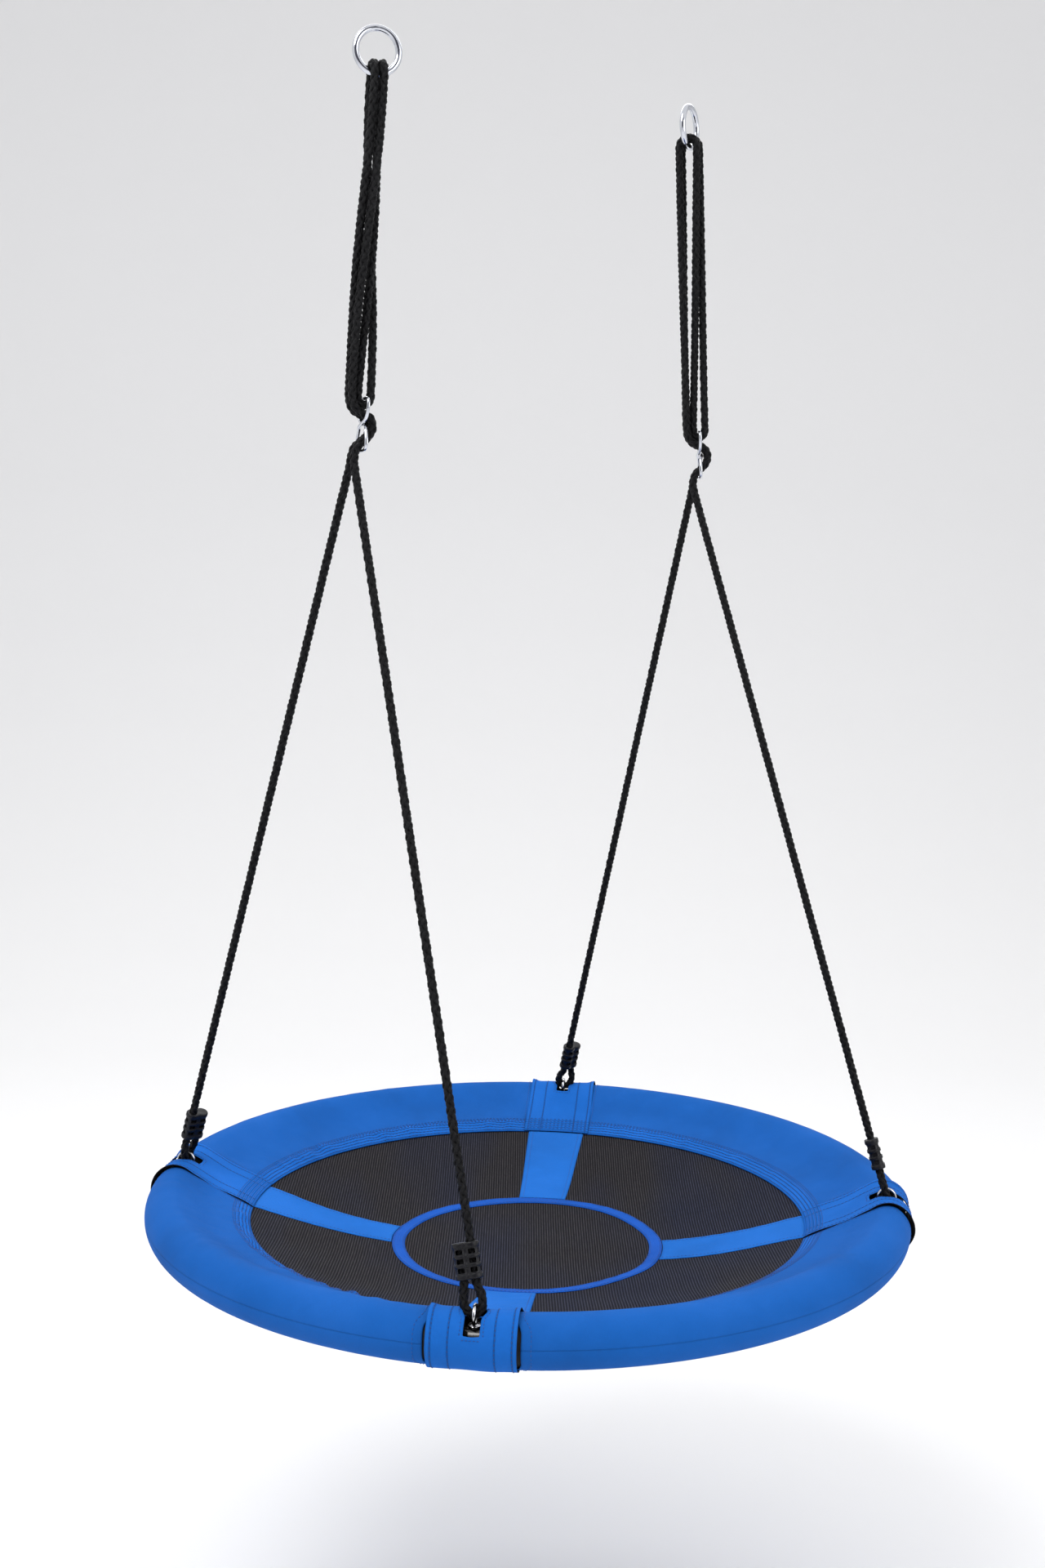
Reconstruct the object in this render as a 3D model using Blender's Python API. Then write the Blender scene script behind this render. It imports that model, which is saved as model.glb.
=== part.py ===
# Saucer nest swing: a round tube-framed seat, padded and covered, with a woven
# mesh centre, hung by two ropes from two steel rings.
#
# Frame: metres, +Z up. The origin is where a hook bears inside the left ring.
# +X runs along the hang line, from the left ring to the right ring.
import math

import bmesh
import bpy
import numpy as np
from mathutils import Matrix, Vector

for o in list(bpy.data.objects):
    bpy.data.objects.remove(o, do_unlink=True)

MM = 0.001

# hang rings, round steel wire
RING_GAP = 0.500  # from ring to ring
RING_WIRE = 8.0 * MM
RING_MEAN_R = 26.0 * MM
RING_TURN = (-20.0, 26.0)  # each ring's plane, turned about Z from the hang line

# rope
ROPE = 10.0 * MM
ROPE_SIDES = 6
BIGHT_HALF = 13.6 * MM
BIGHT_TOP = 14.0 * MM
BIGHT_PITCH = 11.0 * MM
BIGHT_END = 16.0 * MM  # the bight reaches this far below the ring's wire
STRAND_START = 19.5 * MM
PATTERN_TURN = ((70.0, -14.0), (-64.0, -39.0))

# seat
SEAT_X = RING_GAP / 2
SEAT_Z = -1.450
RIM_R = 0.470  # frame tube's centreline
RIM_STEP = 9.0  # degrees
TUBE_R, TUBE_BORE = 14.0 * MM, 12.2 * MM
TUBE_FLAT = TUBE_R * math.cos(math.radians(15.0))  # a twelve-sided tube
SPIGOT_R, SPIGOT_BORE = 11.9 * MM, 10.1 * MM
SPIGOT_HALF = 55.0 * MM
FOAM_R, FOAM_BORE = 28.0 * MM, 14.4 * MM
COVER_R, COVER_T = 29.6 * MM, 1.5 * MM
STRAP_R, STRAP_T, STRAP_W = 30.9 * MM, 2.2 * MM, 98.0 * MM
SLOT_W, SLOT_L = 35.0 * MM, 50.0 * MM
MESH_EDGE_R = 0.366  # where the cover's lips end and the open mesh begins
MESH_R, MESH_T, MESH_Z, MESH_SAG = 0.396, 1.2 * MM, -20.0 * MM, 49.0 * MM
BAND_IN, BAND_OUT, BAND_T = 0.163, 0.180, 1.2 * MM
SPOKE_IN, SPOKE_OUT = 66.0 * MM, 84.0 * MM
EYE_AZ = (135.0, 225.0, 315.0, 45.0)
EYE_NAMES = ("left", "front", "right", "back")

# eye bolt
EYE_R, EYE_WIRE = 10.6 * MM, 4.2 * MM
EYE_UP = 26.6 * MM
SHANK_R = 4.0 * MM

# rope clamp
CLAMP_H, CLAMP_PITCH, CLAMP_BORE = 39.0 * MM, 12.4 * MM, 5.4 * MM
CLAMP_UP = 57.0 * MM
CLAMP_TWIST = (-42.0, 0.0, 0.0, 48.0)

# adjuster, a wire bent into a figure eight
ADJ_Z = -0.455
ADJ_WIRE = 4.2 * MM
ADJ_HALF_H, ADJ_HALF_W = 31.0 * MM, 17.5 * MM
ADJ_POINTS = 40
ADJ_OFF = 6.0 * MM

parts = bpy.data.collections.new("saucer_nest_swing")
cutters = bpy.data.collections.new("cutters")
bpy.context.scene.collection.children.link(parts)
bpy.context.scene.collection.children.link(cutters)


def material(name, rgb, metallic, rough):
    m = bpy.data.materials.new(name)
    m.use_nodes = True
    b = m.node_tree.nodes["Principled BSDF"]
    b.inputs["Base Color"].default_value = (*rgb, 1.0)
    b.inputs["Metallic"].default_value = metallic
    b.inputs["Roughness"].default_value = rough
    return m


LOOKS = {
    "chrome": ((0.80, 0.81, 0.83), 1.0, 0.15),
    "zinc": ((0.62, 0.63, 0.66), 1.0, 0.30),
    "rope": ((0.015, 0.015, 0.017), 0.0, 0.60),
    "plastic": ((0.02, 0.02, 0.024), 0.0, 0.45),
    "tube": ((0.02, 0.02, 0.022), 0.0, 0.25),
    "foam": ((0.03, 0.03, 0.03), 0.0, 0.90),
    "cover": ((0.03, 0.16, 0.60), 0.0, 0.70),
    "strap": ((0.04, 0.20, 0.68), 0.0, 0.70),
    "mesh": ((0.03, 0.03, 0.035), 0.0, 0.60),
    "webbing": ((0.03, 0.18, 0.80), 0.0, 0.60),
}


def add(name, verts, faces, look, cutter=False):
    me = bpy.data.meshes.new(name)
    bm = bmesh.new()
    vs = [bm.verts.new(v) for v in verts]
    for f in faces:
        bm.faces.new([vs[i] for i in f])
    bmesh.ops.recalc_face_normals(bm, faces=bm.faces[:])
    bm.to_mesh(me)
    bm.free()
    o = bpy.data.objects.new(name, me)
    if cutter:
        cutters.objects.link(o)
        o.hide_render = True
        o.display_type = "WIRE"
    else:
        parts.objects.link(o)
        me.materials.append(material(name + "_mat", *LOOKS[look]))
    return o


def cut(o, tool, op="DIFFERENCE"):
    m = o.modifiers.new(op.lower() + "_" + tool.name, "BOOLEAN")
    m.object = tool
    m.operation = op
    m.solver = "EXACT"
    return m


def pivot(o, point):
    p = Vector(point)
    o.data.transform(Matrix.Translation(-p))
    o.location = p
    return o


def smooth(points, step, closed=False):
    """Points at an even step along a Catmull-Rom curve through points."""
    p = [np.array(q, float) for q in points]
    n = len(p)
    out = []
    spans = n if closed else n - 1
    for i in range(spans):
        a, b = p[i], p[(i + 1) % n]
        z = p[i - 1] if (closed or i > 0) else 2 * a - b
        c = p[(i + 2) % n] if (closed or i + 2 < n) else 2 * b - a
        k = max(1, int(math.ceil(np.linalg.norm(b - a) / step)))
        for j in range(k):
            t = j / k
            out.append(
                0.5
                * (
                    2 * a
                    + (b - z) * t
                    + (2 * z - 5 * a + 4 * b - c) * t * t
                    + (-z + 3 * a - 3 * b + c) * t**3
                )
            )
    if not closed:
        out.append(p[-1])
    return out


def sweep(name, path, radius, sides, look, closed=False):
    """A round tube along path."""
    p = [np.array(q, float) for q in path]
    n = len(p)
    tangents = []
    for i in range(n):
        a = p[i - 1] if (closed or i > 0) else p[i]
        b = p[(i + 1) % n] if (closed or i + 1 < n) else p[i]
        d = b - a
        tangents.append(d / np.linalg.norm(d))
    ref = np.array([0.0, 0.0, 1.0])
    if abs(tangents[0] @ ref) > 0.9:
        ref = np.array([1.0, 0.0, 0.0])
    u = ref - (ref @ tangents[0]) * tangents[0]
    u /= np.linalg.norm(u)
    frames = []
    for t in tangents:
        u = u - (u @ t) * t
        u /= np.linalg.norm(u)
        frames.append((u.copy(), np.cross(t, u)))
    shift = 0
    if closed:
        u0, v0 = frames[0]
        ul = u - (u @ tangents[0]) * tangents[0]
        shift = int(round(math.atan2(ul @ v0, ul @ u0) / (2 * math.pi) * sides))
    verts, faces = [], []
    for i in range(n):
        a, b = frames[i]
        for k in range(sides):
            w = 2 * math.pi * k / sides
            verts.append(p[i] + radius * (math.cos(w) * a + math.sin(w) * b))
    for i in range(n if closed else n - 1):
        j = (i + 1) % n
        s = shift if (closed and j == 0) else 0
        for k in range(sides):
            k2 = (k + 1) % sides
            faces.append(
                (
                    i * sides + k,
                    i * sides + k2,
                    j * sides + (k2 + s) % sides,
                    j * sides + (k + s) % sides,
                )
            )
    if not closed:
        faces.append(tuple(range(sides)))
        faces.append(tuple((n - 1) * sides + k for k in reversed(range(sides))))
    return add(name, verts, faces, look)


def chord(az):
    """The rim is a regular polygon, so that nested pieces stay parallel: how
    much shorter its radius is at this azimuth, in degrees."""
    off = az % RIM_STEP - RIM_STEP / 2
    return math.cos(math.radians(RIM_STEP / 2)) / math.cos(math.radians(off))


def stops(az0, az1):
    inner = [
        k * RIM_STEP
        for k in range(int(az0 // RIM_STEP) - 1, int(az1 // RIM_STEP) + 2)
        if az0 + 0.5 < k * RIM_STEP < az1 - 0.5
    ]
    return [az0] + inner + [az1]


def pipe_arc(name, r_out, r_in, az0, az1, sides, look, cutter=False):
    """A hollow tube bent along the rim from azimuth az0 to az1, in degrees."""
    verts, faces = [], []
    at = stops(az0, az1)
    steps = len(at) - 1
    for az in at:
        a = math.radians(az)
        for r in (r_out, r_in):
            for k in range(sides):
                w = 2 * math.pi * (k + 0.5) / sides
                rr = (RIM_R + r * math.cos(w)) * chord(az)
                verts.append(
                    (
                        SEAT_X + rr * math.cos(a),
                        rr * math.sin(a),
                        SEAT_Z + r * math.sin(w),
                    )
                )
    ring = 2 * sides
    for i in range(steps):
        for layer in (0, 1):
            for k in range(sides):
                k2 = (k + 1) % sides
                b = i * ring + layer * sides
                faces.append((b + k, b + k2, b + ring + k2, b + ring + k))
    for b in (0, steps * ring):
        for k in range(sides):
            k2 = (k + 1) % sides
            faces.append((b + k, b + k2, b + sides + k2, b + sides + k))
    return add(name, verts, faces, look, cutter)


def wrap_section(radius, thick, lip_r, lip_gap, count):
    """The cut across a sheet wrapped round the rim: an upper lip, round the
    outside, and a lower lip, as (outer, inner) points in (r, z)."""
    zt = MESH_Z + lip_gap / 2 + thick / 2
    zb = MESH_Z - lip_gap / 2 - thick / 2
    line = []
    # both lips slope straight to where they are tangent to the round part
    a0, a1 = math.radians(116.0), math.radians(-96.0)
    arc = [
        (
            RIM_R + radius * math.cos(a0 + (a1 - a0) * i / count),
            radius * math.sin(a0 + (a1 - a0) * i / count),
        )
        for i in range(count + 1)
    ]
    line = [(lip_r, zt)] + arc + [(lip_r, zb)]
    out, inn = [], []
    for i, (r, z) in enumerate(line):
        a = line[max(0, i - 1)]
        b = line[min(len(line) - 1, i + 1)]
        dx, dz = b[0] - a[0], b[1] - a[1]
        d = math.hypot(dx, dz)
        nx, nz = -dz / d, dx / d
        out.append((r + nx * thick / 2, z + nz * thick / 2))
        inn.append((r - nx * thick / 2, z - nz * thick / 2))
    return out, inn


def wrap(name, section, azimuth, at, look):
    """Carry a wrapped section along the rim. at holds a function of r for each
    stop, which gives the azimuth in degrees from the piece's middle."""
    out, inn = section
    n = len(out)
    steps = len(at) - 1
    verts, faces = [], []
    for place in at:
        for chain in (out, inn):
            for r, z in chain:
                az = azimuth + place(r)
                a, k = math.radians(az), chord(az)
                verts.append(
                    (SEAT_X + r * k * math.cos(a), r * k * math.sin(a), SEAT_Z + z)
                )
    ring = 2 * n
    for i in range(steps):
        b, c = i * ring, (i + 1) * ring
        for k in range(n - 1):
            faces.append((b + k, b + k + 1, c + k + 1, c + k))
            faces.append((b + n + k + 1, b + n + k, c + n + k, c + n + k + 1))
        faces.append((b, c, c + n, b + n))
        faces.append((b + n - 1, b + 2 * n - 1, c + 2 * n - 1, c + n - 1))
    for b in (0, steps * ring):
        for k in range(n - 1):
            faces.append((b + k, b + k + 1, b + n + k + 1, b + n + k))
    return add(name, verts, faces, look)


def rod(name, a, b, r, sides, look="zinc", cutter=False, spin=0.0):
    """A plain cylinder from a to b."""
    a, b = np.array(a, float), np.array(b, float)
    t = (b - a) / np.linalg.norm(b - a)
    ref = np.array([0.0, 0.0, 1.0]) if abs(t[2]) < 0.9 else np.array([1.0, 0.0, 0.0])
    u = ref - (ref @ t) * t
    u /= np.linalg.norm(u)
    v = np.cross(t, u)
    verts = []
    for q in (a, b):
        for k in range(sides):
            w = 2 * math.pi * k / sides + spin
            verts.append(q + r * (math.cos(w) * u + math.sin(w) * v))
    faces = [
        (k, (k + 1) % sides, sides + (k + 1) % sides, sides + k) for k in range(sides)
    ]
    faces += [tuple(range(sides)), tuple(reversed(range(sides, 2 * sides)))]
    return add(name, verts, faces, look, cutter)


def block(name, centre, axes, half, look="zinc", cutter=True):
    c = np.array(centre, float)
    verts = [
        c + sx * half[0] * axes[0] + sy * half[1] * axes[1] + sz * half[2] * axes[2]
        for sx in (-1, 1)
        for sy in (-1, 1)
        for sz in (-1, 1)
    ]
    faces = [
        (0, 1, 3, 2),
        (4, 6, 7, 5),
        (0, 4, 5, 1),
        (2, 3, 7, 6),
        (0, 2, 6, 4),
        (1, 5, 7, 3),
    ]
    return add(name, verts, faces, look, cutter)


def turned(deg):
    a = math.radians(deg)
    return np.array([math.cos(a), math.sin(a), 0.0])


Z = np.array([0.0, 0.0, 1.0])
SIDES = ("left", "right")
RING_X = (0.0, RING_GAP)

# ---------------------------------------------------------------- hang rings
for s, side in enumerate(SIDES):
    w = turned(RING_TURN[s])
    c = np.array([RING_X[s], 0.0, -(RING_MEAN_R - RING_WIRE / 2)])
    pts = [
        c + RING_MEAN_R * (math.cos(a) * w + math.sin(a) * Z)
        for a in (2 * math.pi * k / 28 for k in range(28))
    ]
    sweep("ring_" + side, pts, RING_WIRE / 2, 8, "chrome", closed=True)

AXIS_Z = -(2 * RING_MEAN_R - RING_WIRE / 2)  # the wire's centre under each ring


# --------------------------------------------------------------------- ropes
def eye_centre(k):
    a = math.radians(EYE_AZ[k])
    return np.array(
        [SEAT_X + RIM_R * math.cos(a), RIM_R * math.sin(a), SEAT_Z + EYE_UP]
    )


def eye_tangent(k):
    a = math.radians(EYE_AZ[k])
    return np.array([-math.sin(a), math.cos(a), 0.0])


EYES_OF = ((0, 1), (3, 2))  # strand A's eye, then strand D's, on each side


def hang_axis(s):
    """The line from the ring's wire down to midway between its two eyes."""
    top = np.array([RING_X[s], 0.0, AXIS_Z])
    mid = (eye_centre(EYES_OF[s][0]) + eye_centre(EYES_OF[s][1])) / 2
    d = top - mid
    return top, d / np.linalg.norm(d)


def on_axis(s, z):
    top, up = hang_axis(s)
    return top + up * ((z - top[2]) / up[2])


def pattern(s, t):
    """m and p, the strand pattern's two directions, t from ring to adjuster."""
    a0, a1 = PATTERN_TURN[s]
    k = t * t * (3 - 2 * t)
    a = a0 + (a1 - a0) * k
    return turned(a), turned(a + 90.0)


# offsets in mm along m and p, at the ring and at the adjuster
HALF, PITCH = BIGHT_HALF / MM, BIGHT_PITCH / MM / 2
AT_RING = {
    "A": (-HALF, PITCH),
    "B": (HALF, PITCH),
    "C": (HALF, -PITCH),
    "D": (-HALF, -PITCH),
}
AT_ADJ = {"A": (-11.5, 5.8), "B": (13.8, 0.0), "C": (-1.9, 0.0), "D": (-11.5, -5.8)}
TOP_OF_ADJ = 46.0 * MM


def strand(s, which, count=13):
    """From just under the ring down to just above the adjuster."""
    z0, z1 = AXIS_Z - STRAND_START, ADJ_Z + TOP_OF_ADJ
    out = []
    for i in range(count):
        t = i / (count - 1)
        m, p = pattern(s, t)
        (m0, p0), (m1, p1) = AT_RING[which], AT_ADJ[which]
        mm = m0 + (m1 - m0) * (t if which in "BC" else t * t * (3 - 2 * t))
        pp = p0 + (p1 - p0) * t * t
        out.append(on_axis(s, z0 + (z1 - z0) * t) + (mm * m + pp * p) * MM)
    return out


def local(s, m_mm, p_mm, z_mm):
    m, p = pattern(s, 1.0)
    return on_axis(s, ADJ_Z + z_mm * MM) + (m_mm * m + p_mm * p) * MM


THROUGH = [
    (-11.0, 33.0),
    (-8.6, 22.4),
    (-2.0, 15.4),
    (6.0, 12.0),
    (13.2, 8.0),
    (16.6, 0.4),
    (16.0, -7.0),
    (12.2, -14.0),
    (6.0, -19.5),
    (-0.3, -25.5),
    (-3.6, -34.0),
    (-4.4, -44.0),
]


def clamp_frame(k, q):
    e = eye_centre(k)
    u = q - e
    u /= np.linalg.norm(u)
    t = eye_tangent(k)
    t = t - (t @ u) * u
    t /= np.linalg.norm(t)
    f = np.cross(u, t)
    a = math.radians(CLAMP_TWIST[k])
    wide = math.cos(a) * t + math.sin(a) * f
    return e, u, t, f, wide


def leg_exit(s, which):
    return local(s, -4.4, 5.8 if which == "A" else -5.8, -44.0)


def leg(s, which):
    sign = 1 if which == "A" else -1
    k = EYES_OF[s][0 if which == "A" else 1]
    pts = strand(s, which)
    through = smooth(
        [pts[-2], pts[-1]]
        + [local(s, m, sign * 5.8, z) for m, z in THROUGH]
        + [leg_exit(s, which) - 0.02 * Z],
        7.0 * MM,
    )
    e, u, t, f, wide = clamp_frame(k, leg_exit(s, which))
    half = CLAMP_PITCH / 2
    # straight to the clamp, through it, and round the loop
    a = local(s, -4.4, sign * 5.8, -44.0)
    b = e + u * (CLAMP_UP + CLAMP_H / 2 + 14 * MM) + wide * half
    low = CLAMP_UP - CLAMP_H / 2
    loop = []
    shape = [
        (1.00, 6.2, low - 1.0 * MM),
        (0.75, 8.2, 27.0 * MM),
        (0.35, 10.7, 19.0 * MM),
        (0.05, 10.5, 11.0 * MM),
        (0.0, 7.1, 3.0 * MM),
        (0.0, 0.0, 0.0),
    ]
    for share, off, up in shape:
        g = math.radians(CLAMP_TWIST[k] * share)
        side_dir = math.cos(g) * t + math.sin(g) * f
        loop.append(e + up * u + off * MM * side_dir)
    for share, off, up in reversed(shape[:-1]):
        g = math.radians(CLAMP_TWIST[k] * share)
        side_dir = math.cos(g) * t + math.sin(g) * f
        loop.append(e + up * u - off * MM * side_dir)
    top = e + u * (CLAMP_UP + CLAMP_H / 2) + wide * half
    turn_in = smooth([b, e + u * (CLAMP_UP + 12 * MM) + wide * half] + loop, 8.0 * MM)
    end = e + u * (CLAMP_UP + CLAMP_H / 2 - 6 * MM) - wide * half
    straight = [a + (b - a) * i / 6 for i in range(1, 6)]
    body = [q for q in through if q[2] > a[2] + 3 * MM]
    return pts[:-2] + body + [a] + straight + turn_in + [end]


def middle(s):
    down, up = strand(s, "B"), strand(s, "C")
    r = 7.9
    arc = [
        local(s, 6.0 + r * math.cos(a), 0.0, 31.0 + r * math.sin(a))
        for a in (-math.pi * i / 10 for i in range(11))
    ]
    return down + arc + up[::-1]


def arch(s, which):
    """One bight over the ring's wire, from one strand to the other."""
    m, p = pattern(s, 0.0)
    off = PITCH if which == 0 else -PITCH
    top, up = hang_axis(s)
    c = top + off * MM * p
    pts = [c - BIGHT_HALF * m - up * BIGHT_END, c - BIGHT_HALF * m - up * 7 * MM]
    for i in range(13):
        a = math.pi * i / 12
        pts.append(c - BIGHT_HALF * math.cos(a) * m + BIGHT_TOP * math.sin(a) * Z)
    pts += [c + BIGHT_HALF * m - up * 7 * MM, c + BIGHT_HALF * m - up * BIGHT_END]
    return pts


for s, side in enumerate(SIDES):
    hang = (RING_X[s], 0.0, AXIS_Z)
    for b in (0, 1):
        pivot(
            sweep(f"rope_{side}_bight_{b + 1}", arch(s, b), ROPE / 2, ROPE_SIDES, "rope"), hang
        )
    for which in "AD":
        k = EYES_OF[s][0 if which == "A" else 1]
        pivot(
            sweep(
                f"rope_{side}_leg_{EYE_NAMES[k]}", leg(s, which), ROPE / 2, ROPE_SIDES, "rope"
            ),
            hang,
        )
    pivot(sweep(f"rope_{side}_middle", middle(s), ROPE / 2, ROPE_SIDES, "rope"), hang)

# ----------------------------------------------------------------- adjusters
for s, side in enumerate(SIDES):
    fine = []
    for i in range(720):
        a = 2 * math.pi * i / 720
        # one closed wire that crosses itself at the waist, one pass in front
        z = ADJ_HALF_H / MM * math.sin(a)
        p = ADJ_HALF_W / MM * math.copysign(abs(math.sin(2 * a)) ** 0.45, math.sin(2 * a))
        m = ADJ_OFF / MM + math.copysign(2.5 * math.exp(-((z / 4.0) ** 2)), math.cos(a))
        fine.append(local(s, m, p, z))
    walk = [0.0]
    for i in range(720):
        walk.append(walk[-1] + np.linalg.norm(fine[(i + 1) % 720] - fine[i]))
    pts = []
    for i in range(ADJ_POINTS):
        k = int(np.searchsorted(walk, walk[-1] * i / ADJ_POINTS))
        pts.append(fine[k % 720])
    pivot(
        sweep("adjuster_" + side, pts, ADJ_WIRE / 2, 7, "chrome", closed=True),
        (RING_X[s], 0.0, AXIS_Z),
    )


# --------------------------------------------------------------- rope clamps
def peanut(r, pitch, half_count):
    """Two circles side by side with a waist between them."""
    pts = []
    for lobe, (a0, a1) in ((1, (-118, 118)), (-1, (62, 298))):
        for i in range(half_count):
            a = math.radians(a0 + (a1 - a0) * i / (half_count - 1))
            pts.append((lobe * pitch / 2 + r * math.cos(a), r * math.sin(a)))
    return pts


for s, side in enumerate(SIDES):
    for which in "AD":
        k = EYES_OF[s][0 if which == "A" else 1]
        name = "clamp_" + EYE_NAMES[k]
        e, u, t, f, wide = clamp_frame(k, leg_exit(s, which))
        deep = np.cross(u, wide)
        c = e + u * CLAMP_UP
        h = CLAMP_H / MM
        body, cap, rib = 8.0, 9.1, 8.9
        levels = [(-h / 2, cap - 0.8), (-h / 2 + 1.0, cap), (-h / 2 + 5.4, cap)]
        levels += [(-h / 2 + 5.8, body)]
        for zc in (-4.7, 4.7):
            levels += [(zc - 1.6, body), (zc - 1.3, rib), (zc + 1.3, rib)]
            levels += [(zc + 1.6, body)]
        levels += [(h / 2 - 5.8, body)]
        levels += [(h / 2 - 5.4, cap), (h / 2 - 1.0, cap), (h / 2, cap - 0.8)]
        verts, faces = [], []
        count = 7
        for z, r in levels:
            for x, y in peanut(r, CLAMP_PITCH / MM, count):
                verts.append(c + (z * u + x * wide + y * deep) * MM)
        n = 2 * count
        for i in range(len(levels) - 1):
            for j in range(n):
                j2 = (j + 1) % n
                faces.append((i * n + j, i * n + j2, (i + 1) * n + j2, (i + 1) * n + j))
        faces.append(tuple(range(n)))
        faces.append(tuple((len(levels) - 1) * n + j for j in reversed(range(n))))
        o = add(name, verts, faces, "plastic")
        half = wide * CLAMP_PITCH / 2
        low, high = c - u * CLAMP_H * 0.6, c + u * CLAMP_H * 0.6
        blind = c + u * (CLAMP_H / 2 - 3 * MM)
        cut(o, rod(name + "_bore", low + half, high + half, CLAMP_BORE, 12, "tube", True))
        cut(o, rod(name + "_blind", low - half, blind - half, CLAMP_BORE, 12, "tube", True))
        for i, zc in enumerate((-9.7, 0.0, 9.7)):
            for j, sx in enumerate((-1, 1)):
                cut(
                    o,
                    block(
                        f"{name}_window_{i}{j}",
                        c + u * zc * MM + sx * wide * 7.0 * MM,
                        (wide, deep, u),
                        (4.0 * MM, 14.0 * MM, 2.6 * MM),
                    ),
                )
        pivot(o, (RING_X[s], 0.0, AXIS_Z))
        for q in cutters.objects:
            if q.name.startswith(name + "_") and q.location.length < 1e-9:
                pivot(q, (RING_X[s], 0.0, AXIS_Z))

SEAT_PIVOT = tuple((eye_centre(0) + eye_centre(1)) / 2)

# ------------------------------------------------------------ frame and bolts
gap = math.degrees(0.15 * MM / RIM_R)
for k in range(4):
    az = EYE_AZ[k]
    name = EYE_NAMES[k]
    tube = pipe_arc(
        "frame_tube_" + name,
        TUBE_R,
        TUBE_BORE,
        az - 45 + gap,
        az + 45 - gap,
        12,
        "tube",
    )
    e = eye_centre(k)
    axis = np.array([e[0], e[1], SEAT_Z])
    cut(
        tube,
        rod(
            f"bolt_hole_{name}",
            axis - Z * 20 * MM,
            axis + Z * 20 * MM,
            SHANK_R + 0.35 * MM,
            14,
            "tube",
            True,
        ),
    )
    # eye bolt: a closed eye on a collar and a threaded shank
    t = eye_tangent(k)
    rad = np.cross(t, Z)
    ring = [
        e + EYE_R * (math.cos(a) * rad + math.sin(a) * Z)
        for a in (2 * math.pi * i / 20 for i in range(20))
    ]
    eye = sweep("eye_bolt_" + name, ring, EYE_WIRE / 2, 7, "chrome", closed=True)
    cut(
        eye,
        rod(
            f"eye_collar_{name}",
            axis + Z * (TUBE_FLAT + 0.3 * MM),
            axis + Z * (TUBE_FLAT + 2.4 * MM),
            7.5 * MM,
            18,
            "tube",
            True,
        ),
        "UNION",
    )
    cut(
        eye,
        rod(
            f"eye_shank_{name}",
            axis - Z * 25.5 * MM,
            axis + Z * (TUBE_R + 1.2 * MM),
            SHANK_R,
            14,
            "tube",
            True,
        ),
        "UNION",
    )
    nut = rod(
        "nut_" + name,
        axis - Z * (TUBE_FLAT + 7.3 * MM),
        axis - Z * (TUBE_FLAT + 0.3 * MM),
        7.5 * MM,
        6,
        "zinc",
    )
    cut(
        nut,
        rod(
            f"nut_bore_{name}",
            axis - Z * 30 * MM,
            axis - Z * 5 * MM,
            SHANK_R + 0.3 * MM,
            14,
            "tube",
            True,
        ),
    )
    for o in (tube, eye, nut):
        pivot(o, SEAT_PIVOT)

half_deg = math.degrees(SPIGOT_HALF / RIM_R)
for k, az in enumerate((0.0, 90.0, 180.0, 270.0)):
    spigot = pipe_arc(
        f"spigot_{k + 1}", SPIGOT_R, SPIGOT_BORE, az - half_deg, az + half_deg, 12, "zinc"
    )
    # a countersunk screw up through the tube into the spigot
    a = math.radians(az + 3.2)
    q = RIM_R * chord(az + 3.2)
    p = np.array([SEAT_X + q * math.cos(a), q * math.sin(a), SEAT_Z])
    screw = rod(f"screw_{k + 1}", p - Z * 13.5 * MM, p - Z * 12.6 * MM, 3.9 * MM, 14)
    cut(
        screw,
        rod(f"screw_shank_{k + 1}", p - Z * 13.0 * MM, p - Z * 7.5 * MM, 2.2 * MM, 12, "tube", True),
        "UNION",
    )
    head = rod(f"head_hole_{k + 1}", p - Z * 16 * MM, p - Z * 12.4 * MM, 4.3 * MM, 14, "tube", True)
    hole = rod(f"shank_hole_{k + 1}", p - Z * 15.5 * MM, p - Z * 7 * MM, 2.6 * MM, 12, "tube", True)
    owner = bpy.data.objects["frame_tube_" + EYE_NAMES[(3, 0, 1, 2)[k]]]
    for i, centre in enumerate(EYE_AZ):
        d = (az + 3.2 - centre + 180) % 360 - 180
        if abs(d) < 45:
            owner = bpy.data.objects["frame_tube_" + EYE_NAMES[i]]
    cut(owner, head)
    cut(owner, hole)
    cut(spigot, hole)
    pivot(spigot, SEAT_PIVOT)
    pivot(screw, SEAT_PIVOT)

# -------------------------------------------------------------- foam and cover
foam_gap = math.degrees(15.0 * MM / RIM_R)


def cover_end(r):
    """Degrees from an eye to the cover's end: 2 mm clear of the strap at the
    lips, and 7 mm at the rim, where the black foam shows."""
    clear = 2.0 * MM + 5.0 * MM * max(0.0, r - MESH_EDGE_R) / (RIM_R - MESH_EDGE_R)
    return math.degrees((STRAP_W / 2 + clear) / r)


for k, az in enumerate((0.0, 90.0, 180.0, 270.0)):
    foam = pipe_arc(
        f"foam_{k + 1}", FOAM_R, FOAM_BORE, az - 45 + foam_gap, az + 45 - foam_gap, 12, "foam"
    )
    places = [lambda r: cover_end(r) - 45.0]
    places += [lambda r, d=d: d for d in stops(-37.0, 37.0)[1:-1]]
    places += [lambda r: 45.0 - cover_end(r)]
    cover = wrap(
        f"rim_cover_{k + 1}",
        wrap_section(COVER_R, COVER_T, MESH_EDGE_R, MESH_T + 0.8 * MM, 13),
        az,
        places,
        "cover",
    )
    pivot(foam, SEAT_PIVOT)
    pivot(cover, SEAT_PIVOT)

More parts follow.
